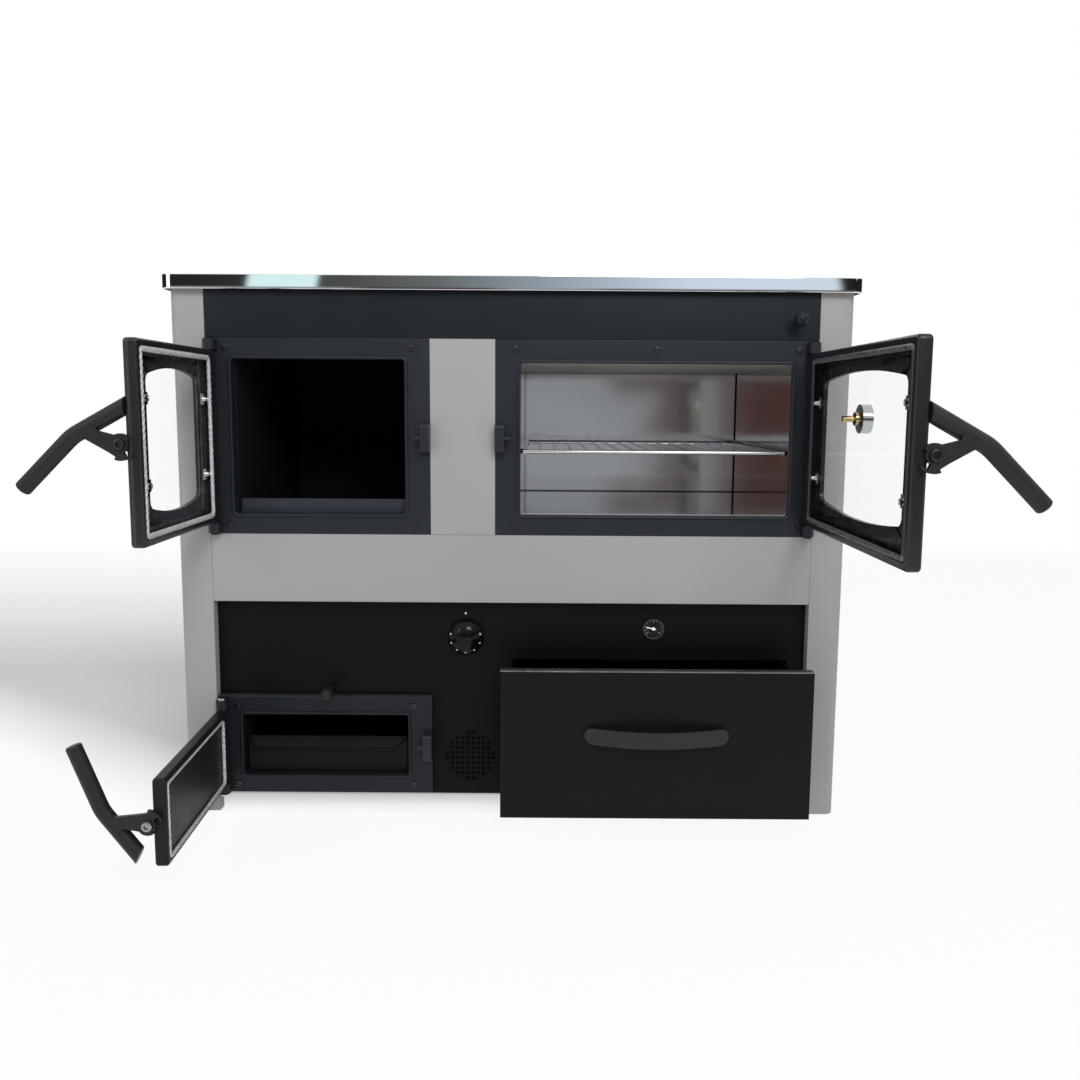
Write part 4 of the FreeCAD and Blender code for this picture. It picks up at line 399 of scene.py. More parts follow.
def cast_skin(name, hazed=None):
    """Painted casting: sand-mould pimples under the paint and a rubbed sheen.

    Hazed gives the X place of an inner face made paler in clouds."""
    tint, gloss, specular, bump = CASTINGS[name]
    rgb = paint_of(tint)
    material, tree, shader = finish_of(name)
    where = place_of(tree)
    drift = noise(where, 6.0, 4.0, 0.6)
    tone = blend(drift, shade(rgb, 0.8), shade(rgb, 1.25))
    if hazed is not None:
        cloud = ramp(noise(where, 15.0, 6.0, 0.65), [(0.3, 0.3), (0.7, 1.0)])
        inner = between(axis_of(tree, X), hazed - 0.0015, hazed + 0.001, 0.001)
        tone = blend(times(cloud, inner), tone, shade(rgb, 4.5))
    rub = noise(where, 22.0, 5.0, 0.65)
    sand = noise(where, 420.0, 6.0, 0.6)
    return finished(material, shader, {
        "Base Color": tone,
        "Roughness": level(rub, gloss * 0.75, gloss * 1.3),
        "Specular IOR Level": specular,
        "Normal": relief(sand, bump, 0.0006),
    })


def metal(name):
    """Bare metal: brush lines along one axis in tone and height, and clouds in the gloss."""
    rgb, gloss, brush, scale, bump, spread = METALS[name]
    material, tree, shader = finish_of(name)
    lines = noise(place_of(tree, brush), scale, 8.0, 0.7)
    cloud = noise(place_of(tree), 9.0, 4.0, 0.6)
    return finished(material, shader, {
        "Base Color": blend(lines, shade(rgb, 1.0 - spread * 0.4), rgb),
        "Roughness": level(cloud, gloss * (1.0 - spread), gloss * (1.0 + spread)),
        "Metallic": 1.0,
        "Normal": relief(lines, bump, 0.0002),
    })


def split_metal(name, near, far, axis, place, gloss):
    """Two plated metals on one piece, parted at a place along one axis, with drawn tool marks."""
    material, tree, shader = finish_of(name)
    endless = 5.0
    marks = noise(place_of(tree, (9, 9, 9)), 120.0, 6.0, 0.7)
    side = between(axis_of(tree, axis), place, place + endless, 0.0004)
    plate = blend(side, near, far)
    return finished(material, shader, {
        "Base Color": blend(level(marks, 0.0, 0.4), plate, (0.05, 0.05, 0.05)),
        "Roughness": level(marks, gloss * 0.7, gloss * 1.4),
        "Metallic": 1.0,
        "Normal": relief(marks, 0.04, 0.0002),
    })


def mirror_sheet(name, rgb, low, high):
    """Bright rolled sheet: clouds, slow waves that bend its mirror image, dark seams round the back.

    A seam is where the back wall lies within a seam's width of the liner's low or high corner.
    The floor's rolled front edge is dull, pale and not metallic, a painted highlight. The faces that
    look down are darker, browner, duller and less metallic."""
    seam, soft, steep = 0.0017, 0.0006, -0.5
    brown, gap_black, fold_highlight_white = (0.36, 0.335, 0.32), (0.012, 0.012, 0.012), (0.95, 0.95, 0.95)
    material, tree, shader = finish_of(name)
    cloud = noise(place_of(tree), 7.0, 5.0, 0.6)
    tone = blend(cloud, shade(rgb, 0.88), shade(rgb, 1.05))
    facing = plant(tree, "ShaderNodeNewGeometry").outputs["Normal"]
    sides = plant(tree, "ShaderNodeSeparateXYZ", {"Vector": facing}).outputs
    ceiling = sums("LESS_THAN", sides["Z"], steep)
    tone = blend(ceiling, tone, brown)
    back = times(sums("LESS_THAN", sides["Y"], steep),
                 sums("GREATER_THAN", axis_of(tree, Y), high[Y] - 0.01))
    lines = []
    for axis, edge, depth in ((X, low, 0.35), (X, high, 1.0), (Z, low, 0.85), (Z, high, 0.6)):
        line = between(axis_of(tree, axis), edge[axis] - seam, edge[axis] + seam, soft)
        lines.append(times(line, depth))
    tone = blend(times(most(*lines), back), tone, gap_black)
    # Painted highlight: the floor's rolled front edge is pale white, matt and not metallic
    fold_highlight = times(between(axis_of(tree, Y), low[Y] - 0.1, low[Y], soft),
                 between(axis_of(tree, Z), low[Z] - 0.003, low[Z] + 0.0005, soft))
    polish = level(cloud, 0.05, 0.13)
    dull = most(fold_highlight, times(ceiling, 0.9))
    wave = noise(place_of(tree, (1, 1, 0.6)), 4.5, 2.0, 0.5)
    return finished(material, shader, {
        "Base Color": blend(fold_highlight, tone, fold_highlight_white),
        "Roughness": sums("ADD", polish, times(ceiling, 0.5)),
        "Metallic": sums("SUBTRACT", 1.0, dull),
        "Normal": relief(wave, 0.12, 0.004),
    })


def sooty(name):
    """Fire-side plate: matt soot with grey ash bloom."""
    material, tree, shader = finish_of(name)
    where = place_of(tree)
    ash = ramp(noise(where, 11.0, 8.0, 0.7), [(0.55, 0.0), (0.85, 0.25)])
    flake = noise(where, 130.0, 6.0, 0.65)
    return finished(material, shader, {
        "Base Color": blend(ash, paint_of("soot"), (0.07, 0.065, 0.06)),
        "Roughness": level(flake, 0.75, 1.0),
        "Specular IOR Level": 0.15,
        "Normal": relief(flake, 0.4, 0.001),
    })


def pane(name):
    """Clear heat-proof glass with a faint wavy surface and a trace of finger haze."""
    material, tree, shader = finish_of(name)
    where = place_of(tree)
    haze = noise(where, 16.0, 5.0, 0.6)
    wave = noise(where, 5.0, 1.0, 0.4)
    return finished(material, shader, {
        "Base Color": blend(haze, (0.998, 1.0, 0.999), (1.0, 1.0, 1.0)),
        "Roughness": ramp(haze, [(0.55, 0.0), (0.9, 0.02)]),
        "Transmission Weight": 1.0,
        "IOR": 1.08,
        "Normal": relief(wave, 0.02, 0.001),
    })


def braid(name, rgb, shine, highlit_runs=(), painted_highlight=1.0):
    """Twisted fibre: painted shade in the strand hollows and a painted highlight on the crests, from
    the strand height kept in the mesh; bright flecks and fuzz.

    Runs are the (low, high) heights between which a painted highlight makes it paler by the factor
    after them."""
    # Painted shade in the strand hollows and a painted highlight on the crests
    fleck_and_hollow_shade, crest_highlight = 0.5, 1.15
    material, tree, shader = finish_of(name)
    ridge = plant(tree, "ShaderNodeAttribute", attribute_name="ridge").outputs["Fac"]
    tone = blend(ridge, shade(rgb, fleck_and_hollow_shade), shade(rgb, crest_highlight))
    for low, high in highlit_runs:
        paler = blend(ridge, shade(rgb, fleck_and_hollow_shade * painted_highlight), shade(rgb, crest_highlight * painted_highlight))
        tone = blend(between(axis_of(tree, Z), low, high, 0.001), tone, paler)
    patch = noise(place_of(tree), 160.0, 6.0, 0.75)
    fleck = ramp(patch, [(0.4, 0.0), (0.62, 1.0)])
    fuzz = noise(place_of(tree), 1500.0, 3.0, 0.6)
    return finished(material, shader, {
        "Base Color": blend(fleck, shade(rgb, fleck_and_hollow_shade), tone),
        "Roughness": level(fuzz, shine, min(1.0, shine + 0.3)),
        "Normal": relief(fuzz, 0.35, 0.0004),
    })


def smoothing():
    """Geometry nodes that join loose triangles and shade them smooth below an edge angle."""
    loose, crease = 0.000005, math.radians(28)
    group = bpy.data.node_groups.new("stove_smooth", "GeometryNodeTree")
    group.is_modifier = True
    for way in ("INPUT", "OUTPUT"):
        group.interface.new_socket("Geometry", in_out=way, socket_type="NodeSocketGeometry")
    start = plant(group, "NodeGroupInput")
    joined = plant(group, "GeometryNodeMergeByDistance",
                   {"Geometry": start.outputs[0], "Distance": loose})
    soft = plant(group, "GeometryNodeSetShadeSmooth",
                 {"Geometry": joined.outputs[0], "Shade Smooth": True}, domain="FACE")
    bend = plant(group, "GeometryNodeInputMeshEdgeAngle").outputs["Unsigned Angle"]
    slight = plant(group, "FunctionNodeCompare", {0: bend, 1: crease}, data_type="FLOAT",
                   operation="LESS_THAN")
    crisp = plant(group, "GeometryNodeSetShadeSmooth",
                  {"Geometry": soft.outputs[0], "Shade Smooth": slight.outputs[0]}, domain="EDGE")
    plant(group, "NodeGroupOutput", {0: crisp.outputs[0]})
    lay_out(group)
    return group


def coat(node, material):
    """Give a CAD node one material."""
    slots = NODES[node].data.materials
    slots.clear()
    slots.append(material)


# Surfaces

def net(rows, columns, closed_rows, closed_columns):
    """Quads of a grid of rows by columns, joined at the seams that are closed."""
    down = rows if closed_rows else rows - 1
    across = columns if closed_columns else columns - 1
    i, j = np.meshgrid(np.arange(down), np.arange(across), indexing="ij")
    i, j = i.ravel(), j.ravel()
    ii, jj = (i + 1) % rows, (j + 1) % columns
    return np.stack([i * columns + j, ii * columns + j, ii * columns + jj, i * columns + jj], 1)


def mesh_of(name, points, faces, smooth=True, closed=True):
    """Object from arrays; a closed one has doubles at its poles merged and faces turned outwards."""
    double, crease = 2e-6, math.radians(38)
    mesh = bpy.data.meshes.new(name)
    mesh.from_pydata(points.reshape(-1, 3).tolist(), [], faces.tolist())
    if closed:
        work = bmesh.new()
        work.from_mesh(mesh)
        bmesh.ops.remove_doubles(work, verts=work.verts, dist=double)
        bmesh.ops.recalc_face_normals(work, faces=work.faces)
        work.to_mesh(mesh)
        work.free()
    mesh.polygons.foreach_set("use_smooth", np.full(len(mesh.polygons), smooth))
    mesh.set_sharp_from_angle(angle=crease)
    obj = bpy.data.objects.new(name, mesh)
    bpy.context.scene.collection.objects.link(obj)
    return obj


def piece(name, points, faces, body, slot, material, replaced=(), smooth=True):
    """Make one piece from arrays, paint it and hang it on its body."""
    obj = mesh_of(name, points, faces, smooth)
    obj.data.materials.append(material)
    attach(obj, body)
    if replaced:
        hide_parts(*replaced)
    return obj


def axes_of(facing):
    """Two unit vectors across a direction, the second upright where it can be, and its own."""
    facing = np.asarray(facing, float) / np.linalg.norm(facing)
    up = np.array([0.0, 0.0, 1.0]) if abs(facing[Z]) < 0.9 else np.array([0.0, 1.0, 0.0])
    side = np.cross(up, facing)
    side /= np.linalg.norm(side)
    return side, np.cross(facing, side), facing


def around(turns):
    """Even angles of a full turn."""
    return np.linspace(0, 2 * np.pi, turns, endpoint=False)


def turned(centre, facing, radius, height, turns):
    """Closed rings P = C + r (cos a * side + sin a * up) + h * facing, r and h per ring and angle."""
    side, up, out = axes_of(facing)
    ring = np.cos(around(turns))[:, None] * side + np.sin(around(turns))[:, None] * up
    points = np.asarray(centre) + radius[..., None] * ring + height[..., None] * out
    return points, net(len(radius), turns, False, True)


def lathe(profile, centre, facing, turns):
    """Surface of revolution: rings whose r(t) and h(t) are a profile's points."""
    radius, height = np.asarray(profile, float).T[..., None]
    return turned(centre, facing, radius, height, turns)


def join_arrays(parts):
    """Several (points, faces) pairs as one pair."""
    points = [spots.reshape(-1, 3) for spots, _ in parts]
    starts = np.cumsum([0] + [len(spots) for spots in points])
    faces = [quads + start for (_, quads), start in zip(parts, starts)]
    return np.concatenate(points), np.concatenate(faces)


def rounded_loop(width, height, corner, step):
    """Points round a rectangle with round corners, evenly spaced, and their outward normals.

    Also the lengths along the loop and the whole length."""
    a, b = width / 2 - corner, height / 2 - corner
    bend = corner * np.pi / 2
    total = 4 * (a + b + bend)
    s = np.linspace(0, total, int(total / step), endpoint=False)
    spots, normals = np.zeros((len(s), 2)), np.zeros((len(s), 2))
    begin = 0.0
    for quarter, (run, rise) in enumerate(((a, b), (b, a), (a, b), (b, a))):
        turn = quarter * np.pi / 2
        way = np.array([np.cos(turn), np.sin(turn)])
        out = np.array([way[1], -way[0]])
        pick = (s >= begin) & (s < begin + 2 * run)
        spots[pick] = (s[pick] - begin - run)[:, None] * way + (rise + corner) * out
        normals[pick] = out
        begin += 2 * run
        pick = (s >= begin) & (s < begin + bend)
        angles = turn - np.pi / 2 + (s[pick] - begin) / corner
        ray = np.stack([np.cos(angles), np.sin(angles)], 1)
        spots[pick] = run * way + rise * out + corner * ray
        normals[pick] = ray
        begin += bend
    return spots, normals, s, total


def capped_head(centre, facing, radius, height, turns=32):
    """Domed cap h = H (1 - r^2 / 3) with a cross-shaped recess, closed by a flat base."""
    arm, reach, depth = 0.13, 0.5, 0.6
    r = np.array([0.0, 0.12, 0.22, 0.34, 0.46, 0.56, 0.68, 0.82, 0.94, 1.0, 1.0, 0.0])
    rr, aa = np.meshgrid(r, around(turns), indexing="ij")
    h = height * (1.0 - rr ** 2 / 3.0)
    narrow = np.minimum(abs(np.cos(aa)), abs(np.sin(aa))) * rr < arm
    h = np.where(narrow & (rr < reach), h - depth * height, h)
    h[-2:] = 0.0
    return turned(centre, facing, radius * rr, h, turns)


def socket_screw(front, facing, head, gauge, shank, reach, turns=48):
    """Screw with a six-sided socket: rings (r, h) from the socket's floor over the head to the tip.

    The socket's edge is r = A / cos(a mod 60 - 30), with A half its width across flats."""
    six = 0.5 * head / np.cos(np.mod(around(turns), np.pi / 3) - np.pi / 6)
    even = np.ones(turns)
    radius = np.stack([0 * even, six * 0.98, six, head * 0.8 * even, head * 0.94 * even,
                       head * even, head * even, shank * even, shank * even, 0 * even])
    fall = np.array([-0.7, -0.7, 0.0, 0.0, -0.1, -0.35, -1.0, -1.0, 0.0, 0.0]) * gauge
    fall[-2:] = -reach
    return turned(front, facing, radius, fall[:, None], turns)


def bars(starts, ends, width, depth, facing):
    """Flat strokes off a face, one box per pair of ends E: P = E +- w / 2 (way x facing) + d facing."""
    way = ends - starts
    way /= np.linalg.norm(way, axis=1)[:, None]
    across = np.cross(way, facing) * width / 2
    corner = np.stack([starts - across, starts + across, ends + across, ends - across], 1)
    points = np.concatenate([corner, corner + facing * depth], 1)
    quads = np.array([[4, 5, 6, 7], [0, 1, 5, 4], [1, 2, 6, 5], [2, 3, 7, 6], [3, 0, 4, 7],
                      [3, 2, 1, 0]])
    faces = (np.arange(len(starts)) * 8)[:, None, None] + quads
    return points, faces.reshape(-1, 4)


# Measures of the CAD nodes

def midway(values):
    """Half way between the least and the greatest, per column."""
    return (values.max(0) + values.min(0)) / 2


def middle_of(node):
    """Middle of a node's box."""
    return midway(np.array(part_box(node)))


def joint_of(body):
    """The joint that a body moves on."""
    return next(joint for joint in frame["joints"] if joint["child"] == body)


def corners_of(node):
    """Corner points of a CAD node's triangles."""
    mesh = NODES[node].data
    spots = np.zeros(len(mesh.vertices) * 3)
    mesh.vertices.foreach_get("co", spots)
    order = np.zeros(len(mesh.loops), np.int32)
    mesh.loops.foreach_get("vertex_index", order)
    return spots.reshape(-1, 3)[order].reshape(-1, 3, 3)


def lumps(node, across, gap):
    """Corner points of each lump of a node: a new one starts where triangles jump past the gap."""
    triangles = corners_of(node)
    middle = triangles.mean(1)[:, across]
    jump = np.linalg.norm(np.diff(middle, axis=0), axis=1) > gap
    return [part.reshape(-1, 3) for part in np.split(triangles, np.flatnonzero(jump) + 1)]


def end_face(points, facing):
    """Middle of the face that reaches furthest in a direction."""
    reach = points @ np.asarray(facing, float)
    return midway(points[reach > reach.max() - 0.0001])


# Operators

class STOVE_OT_finishes(bpy.types.Operator):
    """Smooth the CAD pieces and give each its finish"""
    bl_idname = "stove.finishes"
    bl_label = "Finishes"

    def execute(self, context):
        bare = set(NODES) - set(" ".join(WEARS.values()).split())
        if bare:
            raise RuntimeError("no finish for %s" % sorted(bare))
        made = {**self.paints(), **self.castings(), **self.others()}
        made.update((name, metal(name)) for name in METALS if name in WEARS)
        soft = smoothing()
        for finish, nodes in WEARS.items():
            for node in nodes.split():
                coat(node, made[finish])
                NODES[node].modifiers.new("soft edges", "NODES").node_group = soft
                NODES[node].visible_shadow = finish != "door glass"
        return {"FINISHED"}

    def paints(self):
        """Painted sheet, with a painted highlight along the drawer's lip and the top of the ash frame.
        """
        low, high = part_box("drawer_front")
        lip, lip_front = (Z, high[Z], 0.0008), (Y, low[Y], 0.008)
        ash_top = (Z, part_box("ash_frame")[1][Z], 0.0012)
        # Painted highlights: how much paler the edge lines are, then each line's strength and planes
        painted_highlights = {
            "ash frame enamel": (6.0, (1.0, ash_top)),
            "drawer enamel": (118.0, (0.15, lip), (1.0, lip, lip_front)),
        }
        return {name: enamel(name, *painted_highlights.get(name, ())) for name in PAINTS if name in WEARS}

    def castings(self):
        """Painted castings; the inner face of the firebox door lies where its glass begins."""
        hazed = {"fire door paint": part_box("firebox_glass")[0][X]}
        return {name: cast_skin(name, hazed.get(name)) for name in CASTINGS}

    def others(self):
        """Finishes of a kind that no other piece has."""
        sheet, rope_core = (0.74, 0.735, 0.73), (0.5, 0.5, 0.48)
        dark_pin, brass, plating = (0.03, 0.032, 0.036), (0.5, 0.38, 0.2), (0.56, 0.62, 0.57)
        flange, wall, stem, ash_pin_top = 0.014, 0.0015, 0.0235, 0.3
        low, high = (np.array(corner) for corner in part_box("oven_box"))
        inside = (low + flange, high - [flange, wall, flange])
        cup_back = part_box("thermometer_case")[0][X] + stem
        return {
            "soot": sooty("soot"),
            "oven steel": mirror_sheet("oven steel", sheet, *inside),
            "hinge pins": split_metal("hinge pins", STEEL, dark_pin, Z, ash_pin_top, 0.22),
            "thermometer plating": split_metal("thermometer plating", brass, plating, X, cup_back,
                                               0.13),
            "door glass": pane("door glass"),
            "pale rope core": braid("pale rope core", rope_core, 0.6),
        }


class STOVE_OT_ropes(bpy.types.Operator):
    """Twisted rope seals in the three doors"""
    bl_idname = "stove.ropes"
    bl_label = "Rope seals"

    def execute(self, context):
        rope = sizes("stove_rope")
        pale = braid("pale rope", tuple(rope.pale), 0.42)
        low, high = (corner[Z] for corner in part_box("oven_gasket"))
        # Painted highlight on the top and bottom runs of the oven seal
        highlit_runs = ((low, low + rope.wide), (high - rope.wide, high))
        dark = braid("dark rope", tuple(rope.dark), 0.16, highlit_runs, 7.0)
        for name, body, opened, hand, material, width, twist in (
                ("firebox", "fire_door", 90, 1, pale, rope.wide, 0.1),
                ("oven", "oven_door", 90, -1, dark, rope.wide, 0.02),
                ("ash", "ash_door", 88, 1, pale, rope.slim, 0.1)):
            turn = math.radians(-opened)
            along = np.array([math.cos(turn), math.sin(turn), 0.0])
            inward = hand * np.array([-math.sin(turn), math.cos(turn), 0.0])
            self.rope(name, body, along, inward, material, rope, width, twist)
        return {"FINISHED"}

    def rope(self, name, body, along, inward, material, rope, wide, twist):
        """Oval ring r(a, s) = R (1 - t + t cos(n a - 2 pi s / pitch)) carried round the rim.

        The rim lies in the plane of a door that runs along one direction from its hinge."""
        corner, step, sides, slack = 0.006, 0.0012, 21, 0.0001
        axis = np.array(joint_of(body)["pos_m"])
        spots = corners_of(name + "_gasket").reshape(-1, 3)
        a, b, z = (spots - axis) @ along, (spots - axis) @ inward, spots[:, Z]
        loop, out, s, total = rounded_loop(np.ptp(a) - wide, np.ptp(z) - wide, corner, step)
        turns = max(1, round(total / rope.pitch))
        ss, aa = np.meshgrid(s, around(sides), indexing="ij")
        wave = np.cos(rope.strands * aa - 2 * np.pi * turns * ss / total)
        swell = 1.0 - twist + twist * wave
        across = wide / 2 * swell * np.cos(aa)
        deep = (np.ptp(b) / 2 - slack) * swell * np.sin(aa)
        flat_a = midway(a) + loop[:, 0][:, None] + across * out[:, 0][:, None]
        flat_z = midway(z) + loop[:, 1][:, None] + across * out[:, 1][:, None]
        points = (axis * [1, 1, 0] + flat_a[..., None] * along
                  + (midway(b) + deep)[..., None] * inward + flat_z[..., None] * [0, 0, 1])
        obj = piece(name + "_rope", points, net(len(s), sides, True, True), body, "rope", material,
                    [name + "_gasket"])
        ridge = obj.data.attributes.new("ridge", "FLOAT", "POINT")
        ridge.data.foreach_set("value", (0.5 + 0.5 * wave).ravel())


class STOVE_OT_dials(bpy.types.Operator):
    """Printed faces of the boiler gauge, the oven thermometer and the thermostat"""
    bl_idname = "stove.dials"
    bl_label = "Dials"

    # Depth of a dial's cup, shift of the card from its floor and the card's thickness
    cup, shift, thick = 0.004, 0.00005, 0.0002

    def execute(self, context):
        black, grey, cream, white = (enamel("dial " + tone)
                                     for tone in ("black", "grey", "cream", "white"))
        self.gauge(black, grey)
        self.thermometer(cream, black)
        self.dots(white)
        return {"FINISHED"}

    def card(self, name, centre, facing, radius, body, material):
        """Thin disc in a dial cup."""
        profile = [(0.0, self.thick), (radius, self.thick), (radius, 0.0), (0.0, 0.0)]
        piece(name, *lathe(profile, centre, facing, 64), body, "pointer", material)

    def ticks(self, name, centre, facing, radius, body, material, count, sweep, start):
        """Strokes at angles start + k * sweep / count, every fifth one longer."""
        long, short, outer, width, height = 0.68, 0.8, 0.95, 0.07, 0.0001
        side, up, out = axes_of(facing)
        k = np.arange(count + 1)
        angles = np.radians(start + sweep * k / count)
        ray = np.cos(angles)[:, None] * side + np.sin(angles)[:, None] * up
        inner = np.where(k % 5 == 0, long, short)[:, None]
        base = np.asarray(centre) + self.thick * out
        strokes = bars(base + inner * radius * ray, base + outer * radius * ray, radius * width,
                       height, out)
        piece(name, *strokes, body, "pointer", material, smooth=False)

    def gauge(self, face, ink):
        """Dark card and ten steps in the boiler gauge's cup."""
        radius, scale, facing = 0.0148, 0.0145, (0, -1, 0)
        centre = middle_of("gauge_case")
        centre[Y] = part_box("gauge_case")[0][Y] + self.cup + self.shift
        self.card("gauge_card", centre, facing, radius, "casing", face)
        self.ticks("gauge_ticks", centre, facing, scale, "casing", ink, 10, sweep=-250, start=215)

    def thermometer(self, face, ink):
        """Pale card and thirty steps in the oven thermometer's cup."""
        radius, scale, facing = 0.0168, 0.0163, (1, 0, 0)
        centre = middle_of("thermometer_case")
        centre[X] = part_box("thermometer_case")[1][X] - self.cup + self.shift
        self.card("oven_card", centre, facing, radius, "oven_door", face)
        self.ticks("oven_ticks", centre, facing, scale, "oven_door", ink, 30, sweep=-270, start=225)

    def dots(self, ink):
        """White dots every 35 degrees on the knob's dome, y = R - sqrt(R^2 - r^2), and one above."""
        dome, ring, above, small, large = 0.038, 0.0243, 0.038, 0.0015, 0.0016
        x, _, z = middle_of("thermostat_knob")
        rise = math.sqrt(dome ** 2 - ring ** 2)
        hub = np.array([x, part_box("thermostat_knob")[0][Y] + dome, z])
        parts = []
        for turn in np.radians(90 - np.arange(75, 290, 35)):
            ray = np.array([ring * np.cos(turn), -rise, ring * np.sin(turn)]) / dome
            parts.append(self.dot(hub + dome * ray, ray, small))
        piece("stat_dots", *join_arrays(parts), "stat", "pointer", ink)
        mark = np.array([x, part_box("lower_panel")[0][Y], z + above])
        piece("stat_index", *self.dot(mark, (0, -1, 0), large), "casing", "pointer", ink)

    def dot(self, centre, facing, radius):
        """Low round pad of paint."""
        profile = [(0.0, 0.0003), (radius * 0.6, 0.00028), (radius, 0.0001), (radius, -0.0003),
                   (0.0, -0.0003)]
        return lathe(profile, centre, facing, 18)


class STOVE_OT_screws(bpy.types.Operator):
    """Screw heads on the frames, the glass clips and the handle pivots"""
    bl_idname = "stove.screws"
    bl_label = "Screws"

    def execute(self, context):
        bright, dark, plated = (metal(name) for name in ("screw steel", "oiled screw", "plated screw"))
        self.frames(dark)
        self.pivots(dark, plated)
        self.clips(bright)
        return {"FINISHED"}

    def frames(self, material):
        """Socket screws where the frames are screwed to the front."""
        gap, gauge = 0.02, 0.0024
        parts = []
        for lump in lumps("frame_screws", [X, Z], gap):
            low, high = lump.min(0), lump.max(0)
            front = midway(lump)
            front[Y] = low[Y]
            head = (high[X] - low[X]) / 2
            parts.append(socket_screw(front, (0, -1, 0), head, gauge, head / 2, high[Y] - low[Y]))
        piece("frame_screw_set", *join_arrays(parts), "casing", "dark_screw", material,
              ["frame_screws"])

    def pivots(self, dark, bright):
        """Socket screws that the three handles turn on, each along its latch's axis."""
        gauge, shank = 0.0036, 0.004
        for name, latch, door, slot, material in (
                ("firebox", "fire_latch", "fire_door", "dark_screw", dark),
                ("oven", "oven_latch", "oven_door", "dark_screw", dark),
                ("ash", "ash_latch", "ash_door", "screw_steel", bright)):
            centre = np.array(joint_of(latch)["pos_m"])
            axis = np.array(joint_of(latch)["axis"], float)
            points = corners_of(name + "_handle_screw").reshape(-1, 3) - centre
            along = points @ axis
            wide = np.linalg.norm(points - along[:, None] * axis, axis=1)
            if along[wide > wide.max() * 0.95].mean() < midway(along):
                axis, along = -axis, -along
            front = centre + along.max() * axis
            screw = socket_screw(front, axis, wide.max(), gauge, shank, np.ptp(along))
            piece(name + "_pivot", *screw, door, slot, material, [name + "_handle_screw"])

    def clips(self, material):
        """Domed heads on the screws of the glass clips."""
        gap, radius, height = 0.05, 0.004, 0.0015
        for name, door, facing in (("firebox", "fire_door", (1, 0, 0)),
                                   ("oven", "oven_door", (-1, 0, 0))):
            parts = [capped_head(end_face(lump, facing), facing, radius, height)
                     for lump in lumps(name + "_glass_clips", [Y, Z], gap)]
            piece(name + "_clip_heads", *join_arrays(parts), door, "screw_steel", material)


